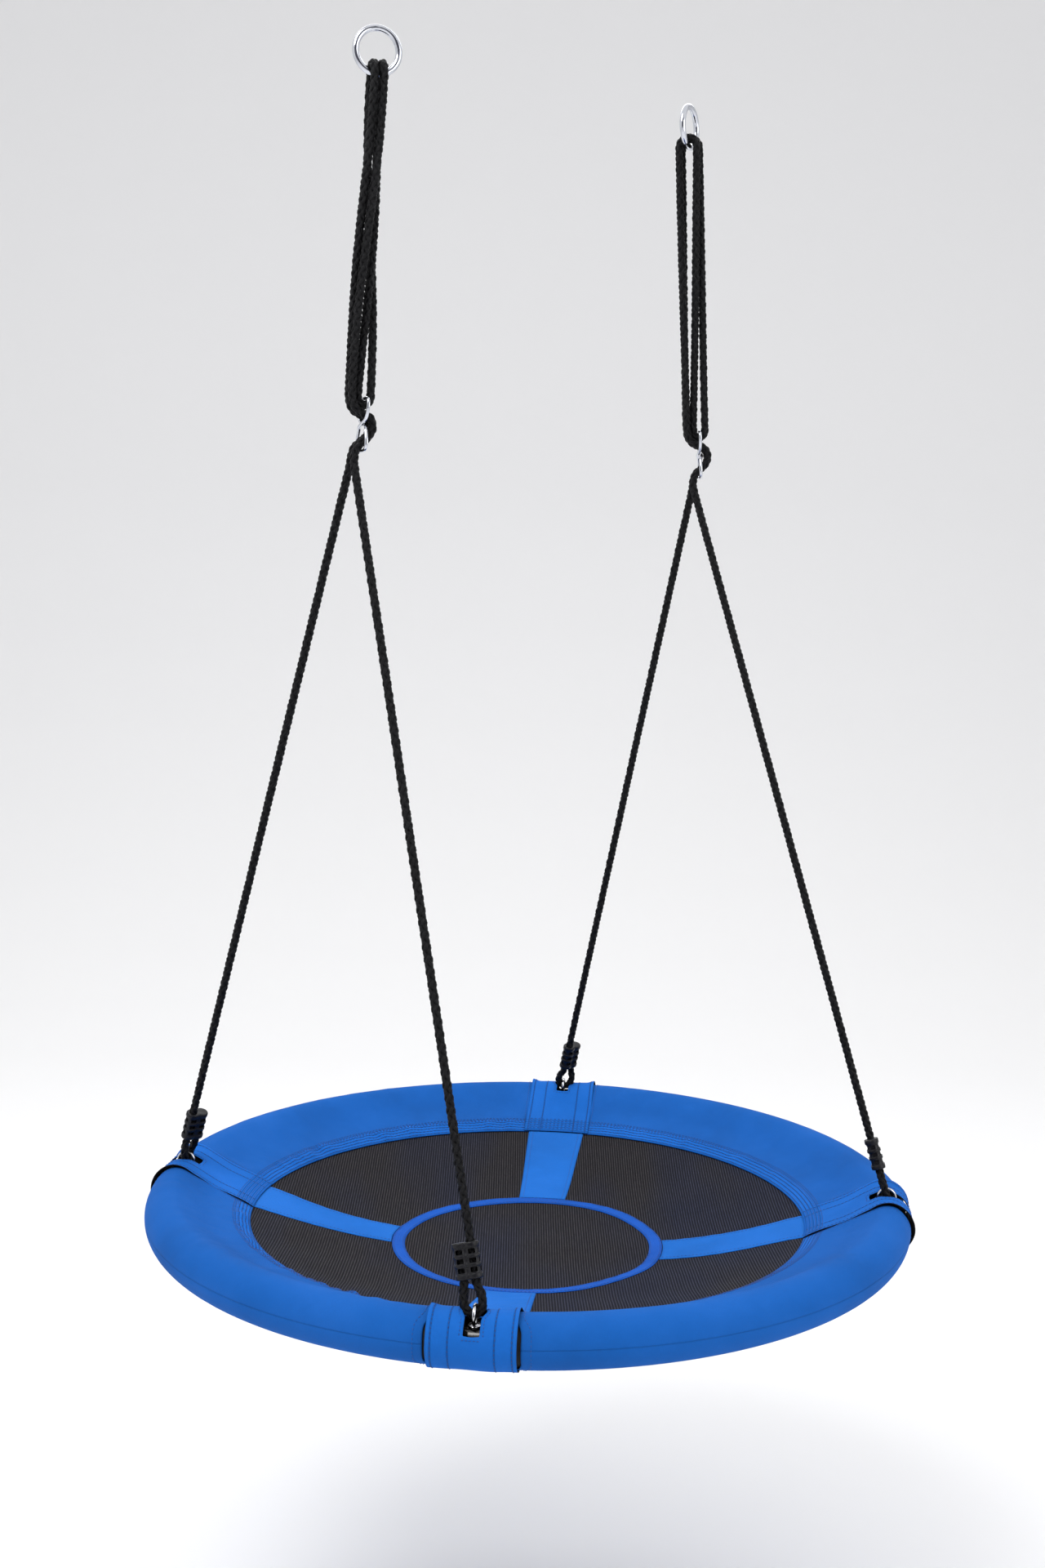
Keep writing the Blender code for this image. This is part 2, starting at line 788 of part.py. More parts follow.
for k in range(4):
    az = EYE_AZ[k]
    strap = wrap(
        "strap_" + EYE_NAMES[k],
        wrap_section(STRAP_R, STRAP_T, MESH_EDGE_R + 0.5 * MM, MESH_T + 0.8 * MM, 14),
        az,
        [lambda r, t=t: math.degrees(t * STRAP_W / 2 / r) for t in (-1.0, 0.0, 1.0)],
        "strap",
    )
    e = eye_centre(k)
    t = eye_tangent(k)
    rad = np.cross(t, Z)
    slot = block(
        "slot_" + EYE_NAMES[k],
        np.array([e[0], e[1], SEAT_Z + 30 * MM]),
        (rad, t, Z),
        (SLOT_L / 2, SLOT_W / 2, 24 * MM),
    )
    cut(strap, slot)
    pivot(strap, SEAT_PIVOT)


# ------------------------------------------------------------ mesh and bands
def sag(r):
    k = min(1.0, r / MESH_EDGE_R)
    return -MESH_SAG * (1 - k**3) ** 1.2


def plate(name, rings, spokes, az0, az1, base, thick, look, at=None):
    """A thin sheet laid on the sagging mesh, between two radii and azimuths."""
    whole = abs(az1 - az0 - 360) < 1e-6
    n = spokes if whole else spokes + 1
    verts, faces = [], []
    for lift in (base, base + thick):
        for r in rings:
            for i in range(n):
                a = math.radians(az0 + (az1 - az0) * i / spokes)
                if at:
                    a = at(-1 + 2 * i / spokes, r)
                z = SEAT_Z + MESH_Z + sag(r) + lift
                verts.append((SEAT_X + r * math.cos(a), r * math.sin(a), z))
    m = len(rings)
    layer = m * n
    cols = n if whole else n - 1
    for i in range(m - 1):
        for j in range(cols):
            j2 = (j + 1) % n
            a, b, c, d = i * n + j, i * n + j2, (i + 1) * n + j2, (i + 1) * n + j
            faces.append((a, b, c, d))
            faces.append((layer + d, layer + c, layer + b, layer + a))
    for j in range(cols):
        j2 = (j + 1) % n
        b = (m - 1) * n
        faces.append((b + j, b + j2, layer + b + j2, layer + b + j))
        faces.append((j2, j, layer + j, layer + j2))
    if not whole:
        for i in range(m - 1):
            a, b = i * n, (i + 1) * n
            faces.append((a, b, layer + b, layer + a))
            a, b = a + n - 1, b + n - 1
            faces.append((b, a, layer + a, layer + b))
    return add(name, verts, faces, look)


# the mesh is one round piece, closed at the middle
rings = [0.05, BAND_IN, BAND_OUT, 0.22, 0.27, 0.32, MESH_EDGE_R, MESH_R]
n = 32
verts, faces = [], []
for lift in (-MESH_T / 2, MESH_T / 2):
    for r in rings:
        for i in range(n):
            a = 2 * math.pi * i / n
            verts.append(
                (
                    SEAT_X + r * math.cos(a),
                    r * math.sin(a),
                    SEAT_Z + MESH_Z + sag(r) + lift,
                )
            )
m = len(rings)
layer = m * n
for i in range(m - 1):
    for j in range(n):
        j2 = (j + 1) % n
        a, b, c, d = i * n + j, i * n + j2, (i + 1) * n + j2, (i + 1) * n + j
        faces.append((a, b, c, d))
        faces.append((layer + d, layer + c, layer + b, layer + a))
faces.append(tuple(range(n)))
faces.append(tuple(layer + j for j in reversed(range(n))))
for j in range(n):
    j2 = (j + 1) % n
    b = (m - 1) * n
    faces.append((b + j, b + j2, layer + b + j2, layer + b + j))
mesh = add("seat_mesh", verts, faces, "mesh")
pivot(mesh, SEAT_PIVOT)

LIFT = MESH_T / 2 + 0.95 * MM


def spoke_width(r):
    """The radial bands widen from the centre band to the rim."""
    return SPOKE_IN + (SPOKE_OUT - SPOKE_IN) * (r - BAND_OUT) / (MESH_EDGE_R - BAND_OUT)


band = plate("centre_band", [BAND_IN, BAND_OUT], 32, 0.0, 360.0, LIFT, BAND_T, "webbing")
pivot(band, SEAT_PIVOT)
for k in range(4):
    mid = math.radians(EYE_AZ[k])
    spoke = plate(
        "radial_band_" + EYE_NAMES[k],
        [BAND_OUT + 1 * MM, 0.22, 0.27, 0.32, MESH_EDGE_R - 5 * MM],
        4,
        0.0,
        1.0,
        LIFT,
        BAND_T * 0.7,
        "webbing",
        at=lambda t, r, mid=mid: mid + t * spoke_width(r) / 2 / r,
    )
    pivot(spoke, SEAT_PIVOT)
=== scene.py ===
import math

import bmesh
import bpy
import numpy as np
from mathutils import Matrix, Vector


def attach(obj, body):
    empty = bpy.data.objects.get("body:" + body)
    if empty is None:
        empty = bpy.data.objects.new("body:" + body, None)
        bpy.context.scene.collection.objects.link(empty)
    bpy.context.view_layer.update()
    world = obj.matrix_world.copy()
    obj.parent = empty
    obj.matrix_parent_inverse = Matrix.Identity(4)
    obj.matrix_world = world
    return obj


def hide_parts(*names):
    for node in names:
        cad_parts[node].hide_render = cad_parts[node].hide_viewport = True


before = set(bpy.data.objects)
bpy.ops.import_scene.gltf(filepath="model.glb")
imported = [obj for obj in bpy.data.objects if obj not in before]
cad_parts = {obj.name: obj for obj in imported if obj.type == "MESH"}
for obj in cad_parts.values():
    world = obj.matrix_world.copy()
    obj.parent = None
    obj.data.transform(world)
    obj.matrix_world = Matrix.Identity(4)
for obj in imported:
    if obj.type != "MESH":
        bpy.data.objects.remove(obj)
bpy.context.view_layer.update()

MM = 0.001
rng = np.random.default_rng(7)
scene = bpy.context.scene

# ------------------------------------------------------------------ camera
cam_data = bpy.data.cameras.new("camera")
cam = bpy.data.objects.new("camera", cam_data)
scene.collection.objects.link(cam)
right = Vector((0.78898, -0.61425, 0.01431))
up = Vector((0.04755, 0.08427, 0.99531))
back = Vector((-0.61257, -0.78460, 0.09569))
m = Matrix((right, up, back)).transposed().to_4x4()
m.translation = Vector((-1.18096, -1.80875, -0.67464))
cam.matrix_world = m
cam_data.sensor_fit = "HORIZONTAL"
cam_data.sensor_width = 36.0
cam_data.lens = 36.0 * 2175.85 / 1280.0
cam_data.clip_end = 60.0
scene.camera = cam

# ------------------------------------------------- dimensions, as in the CAD
RING_GAP, RING_WIRE, RING_MEAN_R = 0.500, 8.0 * MM, 26.0 * MM
RING_TURN = (-20.0, 26.0)
BIGHT_HALF, BIGHT_TOP, BIGHT_PITCH = 12.4 * MM, 12.0 * MM, 11.0 * MM
BIGHT_END, STRAND_START = 16.0 * MM, 19.5 * MM
PATTERN_TURN = ((70.0, -14.0), (-64.0, -39.0))
SEAT_X, SEAT_Z = RING_GAP / 2, -1.450
RIM_R = 0.470
TUBE_R = 14.0 * MM
FOAM_R, FOAM_BORE = 28.0 * MM, 14.4 * MM
COVER_R, STRAP_R, STRAP_W = 29.6 * MM, 30.9 * MM, 98.0 * MM
MESH_EDGE_R, MESH_R, MESH_Z, MESH_SAG = 0.366, 0.396, -20.0 * MM, 49.0 * MM
BAND_IN, BAND_OUT = 0.163, 0.180
SPOKE_IN, SPOKE_OUT = 66.0 * MM, 84.0 * MM
EYE_AZ = (135.0, 225.0, 315.0, 45.0)
EYE_NAMES = ("left", "front", "right", "back")
EYE_R, EYE_WIRE, EYE_UP = 10.6 * MM, 4.2 * MM, 26.6 * MM
CLAMP_H, CLAMP_PITCH, CLAMP_UP = 39.0 * MM, 12.4 * MM, 57.0 * MM
CLAMP_TWIST = (-42.0, 0.0, 0.0, 48.0)
ADJ_Z, ADJ_WIRE, ADJ_OFF = -0.455, 4.2 * MM, 6.0 * MM
ADJ_HALF_H, ADJ_HALF_W = 31.0 * MM, 17.5 * MM
AXIS_Z = -(2 * RING_MEAN_R - RING_WIRE / 2)
RING_X = (0.0, RING_GAP)
SIDES = ("left", "right")
Z = np.array([0.0, 0.0, 1.0])


def turned(deg):
    a = math.radians(deg)
    return np.array([math.cos(a), math.sin(a), 0.0])


# ------------------------------------------------------------ mesh building
def mesh_object(name, verts, faces, uv=None, mats=(), mat_index=None):
    """faces is a list of index tuples or an (n, 4) array; uv is per loop."""
    me = bpy.data.meshes.new(name)
    verts = np.asarray(verts, np.float32)
    if isinstance(faces, np.ndarray):
        n = len(faces)
        me.vertices.add(len(verts))
        me.vertices.foreach_set("co", verts.ravel())
        me.loops.add(n * 4)
        me.loops.foreach_set("vertex_index", faces.ravel().astype(np.int32))
        me.polygons.add(n)
        me.polygons.foreach_set("loop_start", np.arange(0, 4 * n, 4, dtype=np.int32))
        me.polygons.foreach_set("loop_total", np.full(n, 4, np.int32))
    else:
        me.from_pydata([tuple(v) for v in verts.tolist()], [], [tuple(f) for f in faces])
    if uv is not None:
        layer = me.uv_layers.new(name="UVMap")
        layer.data.foreach_set("uv", np.asarray(uv, np.float32).ravel())
    for mat in mats:
        me.materials.append(mat)
    if mat_index is not None:
        me.polygons.foreach_set("material_index", np.asarray(mat_index, np.int32))
    me.polygons.foreach_set("use_smooth", np.ones(len(me.polygons), bool))
    me.update()
    me.validate()
    o = bpy.data.objects.new(name, me)
    scene.collection.objects.link(o)
    return o


def weld(o, dist=1e-6):
    bm = bmesh.new()
    bm.from_mesh(o.data)
    bmesh.ops.remove_doubles(bm, verts=bm.verts, dist=dist)
    bmesh.ops.recalc_face_normals(bm, faces=bm.faces[:])
    bm.to_mesh(o.data)
    bm.free()
    return o


def grid_faces(n, m, wrap_n=False, wrap_m=False, base=0):
    i = np.arange(n if wrap_n else n - 1)
    j = np.arange(m if wrap_m else m - 1)
    I, J = np.meshgrid(i, j, indexing="ij")
    I2, J2 = (I + 1) % n, (J + 1) % m
    f = np.stack([I * m + J, I * m + J2, I2 * m + J2, I2 * m + J], -1)
    return f.reshape(-1, 4) + base


def grid_uv(U, V, wrap_n=False, wrap_m=False, du=1.0, dv=1.0):
    """Loop UVs for grid_faces, from per-vertex U and V, (n, m) each. The last
    strip of a wrapped direction runs on by du or dv."""
    n, m = U.shape
    if wrap_n:
        U = np.vstack([U, U[:1] + du])
        V = np.vstack([V, V[:1]])
    if wrap_m:
        U = np.hstack([U, U[:, :1]])
        V = np.hstack([V, V[:, :1] + dv])
    a = np.stack([U[:-1, :-1], V[:-1, :-1]], -1)
    b = np.stack([U[:-1, 1:], V[:-1, 1:]], -1)
    c = np.stack([U[1:, 1:], V[1:, 1:]], -1)
    d = np.stack([U[1:, :-1], V[1:, :-1]], -1)
    return np.stack([a, b, c, d], 2).reshape(-1, 2)


def frames_along(p, closed=False):
    p = np.asarray(p)
    if closed:
        t = np.roll(p, -1, 0) - np.roll(p, 1, 0)
    else:
        t = np.gradient(p, axis=0)
    t /= np.linalg.norm(t, axis=1)[:, None]
    ref = Z if abs(t[0] @ Z) < 0.9 else np.array([1.0, 0, 0])
    u = ref - (ref @ t[0]) * t[0]
    u /= np.linalg.norm(u)
    U = np.empty_like(t)
    for i in range(len(t)):
        u = u - (u @ t[i]) * t[i]
        u /= np.linalg.norm(u)
        U[i] = u
    if closed:
        # spread the twist that is left at the join
        v0 = np.cross(t[0], U[0])
        w = u - (u @ t[0]) * t[0]
        a = math.atan2(w @ v0, w @ U[0])
        k = -a * np.arange(len(t)) / len(t)
        V = np.cross(t, U)
        U = np.cos(k)[:, None] * U + np.sin(k)[:, None] * V
    return t, U, np.cross(t, U)


def tube(name, p, radius, sides, mats, closed=False, v_len=1.0):
    """A smooth tube. radius is one number or one for each point."""
    p = np.asarray(p, float)
    t, U, V = frames_along(p, closed)
    r = np.broadcast_to(np.asarray(radius, float), (len(p),))
    w = 2 * np.pi * np.arange(sides) / sides
    co = p[:, None] + r[:, None, None] * (
        np.cos(w)[None, :, None] * U[:, None] + np.sin(w)[None, :, None] * V[:, None]
    )
    n = len(p)
    s = np.r_[0, np.cumsum(np.linalg.norm(np.diff(p, axis=0), axis=1))]
    f = grid_faces(n, sides, closed, True)
    Ug = np.repeat(s[:, None], sides, 1)
    Vg = np.repeat((np.arange(sides) / sides)[None], n, 0)
    uv = grid_uv(Ug, Vg, closed, True, du=s[-1] + np.linalg.norm(p[0] - p[-1]))
    o = mesh_object(name, co.reshape(-1, 3), f, uv, mats)
    if not closed:
        bm = bmesh.new()
        bm.from_mesh(o.data)
        bm.verts.ensure_lookup_table()
        bm.faces.new([bm.verts[k] for k in reversed(range(sides))])
        bm.faces.new([bm.verts[(n - 1) * sides + k] for k in range(sides)])
        bmesh.ops.recalc_face_normals(bm, faces=bm.faces[:])
        bm.to_mesh(o.data)
        bm.free()
        o.data.polygons.foreach_set("use_smooth", np.ones(len(o.data.polygons), bool))
    return o


def even(p, step, sigma=0.0, closed=False):
    """Points at an even step along p, with corners rounded by sigma metres."""
    p = np.asarray(p, float)
    if closed:
        p = np.vstack([p, p[:1]])
    for _ in range(2):
        s = np.r_[0, np.cumsum(np.linalg.norm(np.diff(p, axis=0), axis=1))]
        n = max(3, int(round(s[-1] / step)) + 1)
        k = np.linspace(0, s[-1], n)
        p = np.stack([np.interp(k, s, p[:, i]) for i in range(3)], 1)
        if sigma > 0:
            w = int(math.ceil(3 * sigma / step))
            g = np.exp(-0.5 * ((np.arange(-w, w + 1) * step) / sigma) ** 2)
            g /= g.sum()
            a = np.vstack([2 * p[0] - p[w:0:-1], p, 2 * p[-1] - p[-2 : -w - 2 : -1]])
            p = np.stack([np.convolve(a[:, i], g, "valid") for i in range(3)], 1)
            sigma = 0.0
    return p[:-1] if closed else p


def join(name, objs):
    """One object from several meshes."""
    bm = bmesh.new()
    mats = []
    for o in objs:
        me = o.data
        remap = []
        for mt in me.materials:
            if mt not in mats:
                mats.append(mt)
            remap.append(mats.index(mt))
        before = len(bm.faces)
        me.transform(o.matrix_world)
        bm.from_mesh(me)
        bm.faces.ensure_lookup_table()
        for f in bm.faces[before:]:
            f.material_index = remap[f.material_index] if remap else 0
    me = bpy.data.meshes.new(name)
    bm.to_mesh(me)
    bm.free()
    for mt in mats:
        me.materials.append(mt)
    for o in objs:
        bpy.data.objects.remove(o, do_unlink=True)
    o = bpy.data.objects.new(name, me)
    scene.collection.objects.link(o)
    return o


# ---------------------------------------------------------------- materials
class Tree:
    def __init__(self, name, rgb, rough, metallic=0.0):
        self.m = bpy.data.materials.new(name)
        self.m.use_nodes = True
        self.t = self.m.node_tree
        self.b = self.t.nodes["Principled BSDF"]
        self.b.inputs["Base Color"].default_value = (*rgb, 1)
        self.b.inputs["Roughness"].default_value = rough
        self.b.inputs["Metallic"].default_value = metallic
        self.x = -200

    def node(self, kind, **kw):
        n = self.t.nodes.new(kind)
        self.x -= 40
        n.location = (self.x, 0)
        for k, v in kw.items():
            setattr(n, k, v)
        return n

    def link(self, a, b):
        self.t.links.new(a, b)

    def put(self, socket, v):
        if isinstance(v, (int, float)):
            socket.default_value = v
        elif isinstance(v, tuple):
            socket.default_value = (*v, 1) if len(v) == 3 and len(socket.default_value) == 4 else v
        else:
            self.link(v, socket)

    def math(self, op, a, b=None, c=None, clamp=False):
        n = self.node("ShaderNodeMath", operation=op, use_clamp=clamp)
        for i, v in enumerate((a, b, c)):
            if v is not None:
                self.put(n.inputs[i], v)
        return n.outputs[0]

    def coords(self, kind="Object"):
        return self.node("ShaderNodeTexCoord").outputs[kind]

    def mapped(self, vec, scale=(1, 1, 1), rot=(0, 0, 0), loc=(0, 0, 0)):
        n = self.node("ShaderNodeMapping")
        self.link(vec, n.inputs[0])
        n.inputs["Scale"].default_value = scale
        n.inputs["Rotation"].default_value = rot
        n.inputs["Location"].default_value = loc
        return n.outputs[0]

    def noise(self, vec, scale, detail=3.0, rough=0.5):
        n = self.node("ShaderNodeTexNoise")
        self.link(vec, n.inputs["Vector"])
        n.inputs["Scale"].default_value = scale
        n.inputs["Detail"].default_value = detail
        n.inputs["Roughness"].default_value = rough
        return n.outputs["Fac"]

    def ramp(self, fac, stops):
        n = self.node("ShaderNodeValToRGB")
        self.link(fac, n.inputs[0])
        e = n.color_ramp.elements
        while len(e) > 1:
            e.remove(e[-1])
        e[0].position, e[0].color = stops[0][0], (*stops[0][1], 1)
        for pos, col in stops[1:]:
            k = e.new(pos)
            k.color = (*col, 1)
        return n.outputs[0]

    def mix(self, fac, a, b, blend="MIX"):
        n = self.node("ShaderNodeMix", data_type="RGBA", blend_type=blend)
        self.put(n.inputs[0], fac)
        self.put(n.inputs[6], a)
        self.put(n.inputs[7], b)
        return n.outputs[2]

    def span(self, v, a, b, c, d):
        n = self.node("ShaderNodeMapRange")
        self.put(n.inputs[0], v)
        for i, k in enumerate((a, b, c, d)):
            n.inputs[i + 1].default_value = k
        return n.outputs[0]

    def bump(self, height, dist, strength=1.0, normal=None):
        n = self.node("ShaderNodeBump")
        self.link(height, n.inputs["Height"])
        n.inputs["Distance"].default_value = dist
        n.inputs["Strength"].default_value = strength
        if normal is not None:
            self.link(normal, n.inputs["Normal"])
        return n.outputs[0]

    def xyz(self, vec):
        n = self.node("ShaderNodeSeparateXYZ")
        self.link(vec, n.inputs[0])
        return n.outputs

    def color(self, v):
        self.put(self.b.inputs["Base Color"], v)

    def rough(self, v):
        self.put(self.b.inputs["Roughness"], v)

    def normal(self, v):
        self.link(v, self.b.inputs["Normal"])


def metal(name, rgb, rough, scratch=0.5):
    t = Tree(name, rgb, rough, 1.0)
    c = t.coords("Object")
    big = t.noise(c, 60.0, 3.0)
    fine = t.noise(c, 900.0, 2.0)
    t.rough(t.span(big, 0.3, 0.7, rough * 0.6, rough * 1.5))
    t.color(t.ramp(fine, [(0.3, tuple(x * 0.90 for x in rgb)), (0.7, rgb)]))
    t.normal(t.bump(t.math("ADD", t.math("MULTIPLY", big, 0.7), t.math("MULTIPLY", fine, 0.3)), 0.00012 * scratch))
    return t.m


def plastic(name, rgb, rough, grain=900.0, depth=0.00012):
    t = Tree(name, rgb, rough)
    c = t.coords("Object")
    n = t.noise(c, grain, 2.0)
    b = t.noise(c, 40.0, 3.0)
    t.rough(t.span(b, 0.3, 0.7, rough * 0.8, rough * 1.25))
    t.color(t.ramp(b, [(0.3, rgb), (0.75, tuple(x * 1.7 + 0.003 for x in rgb))]))
    t.normal(t.bump(n, depth))
    t.b.inputs["Specular IOR Level"].default_value = 0.22
    return t.m


def rope_material():
    """Split-film polyethylene yarn: fine filaments along each yarn, glossy, with painted glints in the colour."""
    t = Tree("rope_black_pe", (0.012, 0.012, 0.014), 0.42)
    uv = t.coords("UV")
    fib = t.noise(t.mapped(uv, (40.0, 1.0, 1.0)), 9.0, 4.0, 0.6)
    fleck = t.noise(t.mapped(uv, (130.0, 2.2, 1.0)), 5.0, 2.0)
    # painted glints: grey flecks (0.20) are mixed into the base colour where the fleck noise and the patch noise below
    # are high; they stand in for highlights on the glossy filaments
    glint_patch = t.noise(t.coords("Object"), 45.0, 3.0)
    base = t.ramp(fib, [(0.25, (0.0015, 0.0015, 0.002)), (0.55, (0.005, 0.005, 0.006)), (0.78, (0.018, 0.018, 0.021))])
    glint = t.ramp(fleck, [(0.62, (0.0, 0.0, 0.0)), (0.80, (1, 1, 1))])
    g = t.math("MULTIPLY", t.xyz(glint)[0], t.span(glint_patch, 0.4, 0.65, 0.0, 0.8))
    t.color(t.mix(g, base, (0.20, 0.20, 0.22)))
    t.rough(t.span(fib, 0.2, 0.8, 0.30, 0.62))
    t.normal(t.bump(fib, 0.0006, 0.9))
    t.b.inputs["Specular IOR Level"].default_value = 0.16
    return t.m


def fabric(name, rgb, dark=0.80, pitch=0.0011, rough=0.78, hem=False, seams_v=(), seams_u=()):
    """Plain-weave polyester on metric UVs, with slow shade variation. hem sews
    five rows along v = 0; seams_v and seams_u draw single sewn lines."""
    t = Tree(name, rgb, rough)
    uv = t.coords("UV")
    x, y, _ = t.xyz(uv)
    k = 2 * math.pi / pitch
    sx = t.math("SINE", t.math("MULTIPLY", x, k))
    sy = t.math("SINE", t.math("MULTIPLY", y, k))
    weave = t.math("MULTIPLY", sx, sy)
    thread = t.math("ADD", t.math("ABSOLUTE", sx), t.math("ABSOLUTE", sy))
    slub = t.noise(t.mapped(uv, (1.0, 14.0, 1.0)), 160.0, 3.0)
    slub2 = t.noise(t.mapped(uv, (14.0, 1.0, 1.0)), 160.0, 3.0)
    cloud = t.noise(t.coords("Object"), 7.0, 4.0, 0.55)
    scuff = t.noise(t.coords("Object"), 38.0, 5.0, 0.65)
    lo = tuple(v * dark for v in rgb)
    hi = tuple(min(1.0, v * 1.10 + 0.004) for v in rgb)
    col = t.ramp(cloud, [(0.30, lo), (0.52, rgb), (0.75, hi)])
    tex = t.span(t.math("ADD", t.math("ADD", slub, slub2), t.math("MULTIPLY", thread, 0.35)), 0.8, 2.0, 0.86, 1.10)
    col = t.mix(1.0, col, t.node_rgb(tex), "MULTIPLY")
    worn = t.span(scuff, 0.56, 0.78, 0.0, 0.16)
    col = t.mix(worn, col, tuple(min(1.0, v * 1.35 + 0.008) for v in rgb))
    marks = []
    if hem:
        d = t.math("ABSOLUTE", t.math("SUBTRACT", t.math("MODULO", t.math("ADD", y, 0.0045), 0.005), 0.0025))
        row = t.span(d, 0.0002, 0.0009, 1.0, 0.0)
        marks.append(t.math("MULTIPLY", row, t.math("LESS_THAN", y, 0.0262)))
    for v in seams_v:
        marks.append(t.span(t.math("ABSOLUTE", t.math("SUBTRACT", y, v)), 0.0003, 0.0011, 0.6, 0.0))
    for v in seams_u:
        d = t.math("ABSOLUTE", t.math("SUBTRACT", t.math("ABSOLUTE", x), v))
        marks.append(t.span(d, 0.0003, 0.0012, 0.8, 0.0))
    mark = None
    for k in marks:
        mark = k if mark is None else t.math("MAXIMUM", mark, k)
    if mark is not None:
        col = t.mix(t.math("MULTIPLY", mark, 0.42), col, tuple(v * 0.30 for v in rgb))
    t.color(col)
    t.rough(t.span(slub, 0.3, 0.7, rough * 0.9, min(1.0, rough * 1.12)))
    h = t.math("ADD", t.math("MULTIPLY", weave, 0.5), t.math("MULTIPLY", thread, 0.5))
    n1 = t.bump(h, 0.00016, 0.8)
    n2 = t.bump(t.noise(t.coords("Object"), 22.0, 3.0, 0.5), 0.0016, 0.55, n1)
    if mark is not None:
        n2 = t.bump(t.math("SUBTRACT", 1.0, mark), 0.0009, 0.9, n2)
    t.normal(n2)
    t.b.inputs["Specular IOR Level"].default_value = 0.10
    return t.m


def _node_rgb(self, v):
    n = self.node("ShaderNodeCombineColor")
    for i in range(3):
        self.link(v, n.inputs[i])
    return n.outputs[0]


Tree.node_rgb = _node_rgb

VIEW_TURN = math.radians(38.0)


def mesh_material():
    """Coated open weave: fine light ribs one way, with the gaps between them painted darker still as shade in place of
    see-through holes.
    """
    t = Tree("seat_mesh_black", (0.02, 0.02, 0.024), 0.5)
    c = t.mapped(t.coords("Object"), (1, 1, 1), (0, 0, VIEW_TURN))
    x, y, _ = t.xyz(c)
    pr, pc = 0.0034, 0.0021
    rib = t.math("SINE", t.math("MULTIPLY", x, 2 * math.pi / pr))
    cross = t.math("SINE", t.math("MULTIPLY", y, 2 * math.pi / pc))
    warp = t.math("POWER", t.span(rib, -1.0, 1.0, 0.0, 1.0), 2.2)
    weft = t.span(cross, -1.0, 1.0, 0.0, 1.0)
    hole = t.math("MULTIPLY", t.span(rib, -1.0, -0.1, 1.0, 0.0), t.span(cross, -0.9, 0.3, 1.0, 0.0))
    fleck = t.noise(t.mapped(c, (1.0, 0.08, 1.0)), 900.0, 2.0)
    light = t.span(t.math("MULTIPLY", warp, t.span(fleck, 0.35, 0.65, 0.45, 1.0)), 0.1, 0.95, 0.0, 1.0)
    patch = t.noise(t.mapped(c, (1.3, 0.45, 1.0)), 5.0, 2.0)
    thread = t.mix(t.span(patch, 0.44, 0.66, 0.0, 0.85), (0.046, 0.043, 0.048), (0.028, 0.033, 0.070))
    body = t.mix(t.span(patch, 0.44, 0.66, 0.0, 0.85), (0.008, 0.007, 0.009), (0.006, 0.008, 0.018))
    col = t.mix(light, body, thread)
    # painted shade: the open weave's holes are coloured near-black, standing in for the shade seen through them
    col = t.mix(hole, col, (0.002, 0.002, 0.003))
    t.color(col)
    t.rough(t.span(warp, 0.0, 1.0, 0.70, 0.50))
    h = t.math("ADD", t.math("MULTIPLY", warp, 0.7), t.math("MULTIPLY", weft, 0.35))
    h = t.math("SUBTRACT", h, hole)
    t.normal(t.bump(h, 0.00045, 0.9))
    t.b.inputs["Specular IOR Level"].default_value = 0.10
    return t.m


def webbing(name, rgb, pitch=0.0016, chev=0.0032):
    """Ribbed polyester tape on metric UVs: u along, v across."""
    t = Tree(name, rgb, 0.62)
    uv = t.coords("UV")
    x, y, _ = t.xyz(uv)
    zig = t.math("PINGPONG", y, chev)
    w = t.math("SINE", t.math("MULTIPLY", t.math("ADD", x, zig), 2 * math.pi / pitch))
    ridge = t.math("SINE", t.math("MULTIPLY", y, math.pi / chev * 2))
    cloud = t.noise(t.coords("Object"), 12.0, 4.0)
    col = t.ramp(cloud, [(0.3, tuple(v * 0.82 for v in rgb)), (0.7, tuple(min(1, v * 1.12) for v in rgb))])
    col = t.mix(1.0, col, t.node_rgb(t.span(w, -1, 1, 0.80, 1.08)), "MULTIPLY")
    t.color(col)
    t.rough(t.span(w, -1, 1, 0.7, 0.52))
    t.normal(t.bump(t.math("ADD", t.math("MULTIPLY", w, 0.6), t.math("MULTIPLY", ridge, 0.4)), 0.00022, 0.9))
    t.b.inputs["Specular IOR Level"].default_value = 0.12
    return t.m


def foam_material():
    t = Tree("foam_black", (0.016, 0.016, 0.017), 0.85)
    c = t.coords("Object")
    v = t.node("ShaderNodeTexVoronoi")
    t.link(c, v.inputs["Vector"])
    v.inputs["Scale"].default_value = 1400.0
    n = t.noise(c, 180.0, 3.0)
    t.color(t.ramp(n, [(0.3, (0.010, 0.010, 0.011)), (0.7, (0.030, 0.030, 0.032))]))
    t.rough(t.span(n, 0.3, 0.7, 0.75, 0.95))
    t.normal(t.bump(v.outputs["Distance"], 0.0003, 0.8))
    return t.m


def powder_coat():
    t = Tree("frame_gloss_black", (0.010, 0.010, 0.011), 0.16)
    c = t.coords("Object")
    peel = t.noise(c, 420.0, 2.0)
    dust = t.noise(c, 60.0, 4.0)
    t.color(t.ramp(dust, [(0.45, (0.008, 0.008, 0.009)), (0.8, (0.026, 0.026, 0.028))]))
    t.rough(t.span(dust, 0.35, 0.75, 0.10, 0.30))
    t.normal(t.bump(peel, 0.00010, 0.5))
    t.b.inputs["Coat Weight"].default_value = 0.6
    t.b.inputs["Coat Roughness"].default_value = 0.08
    return t.m


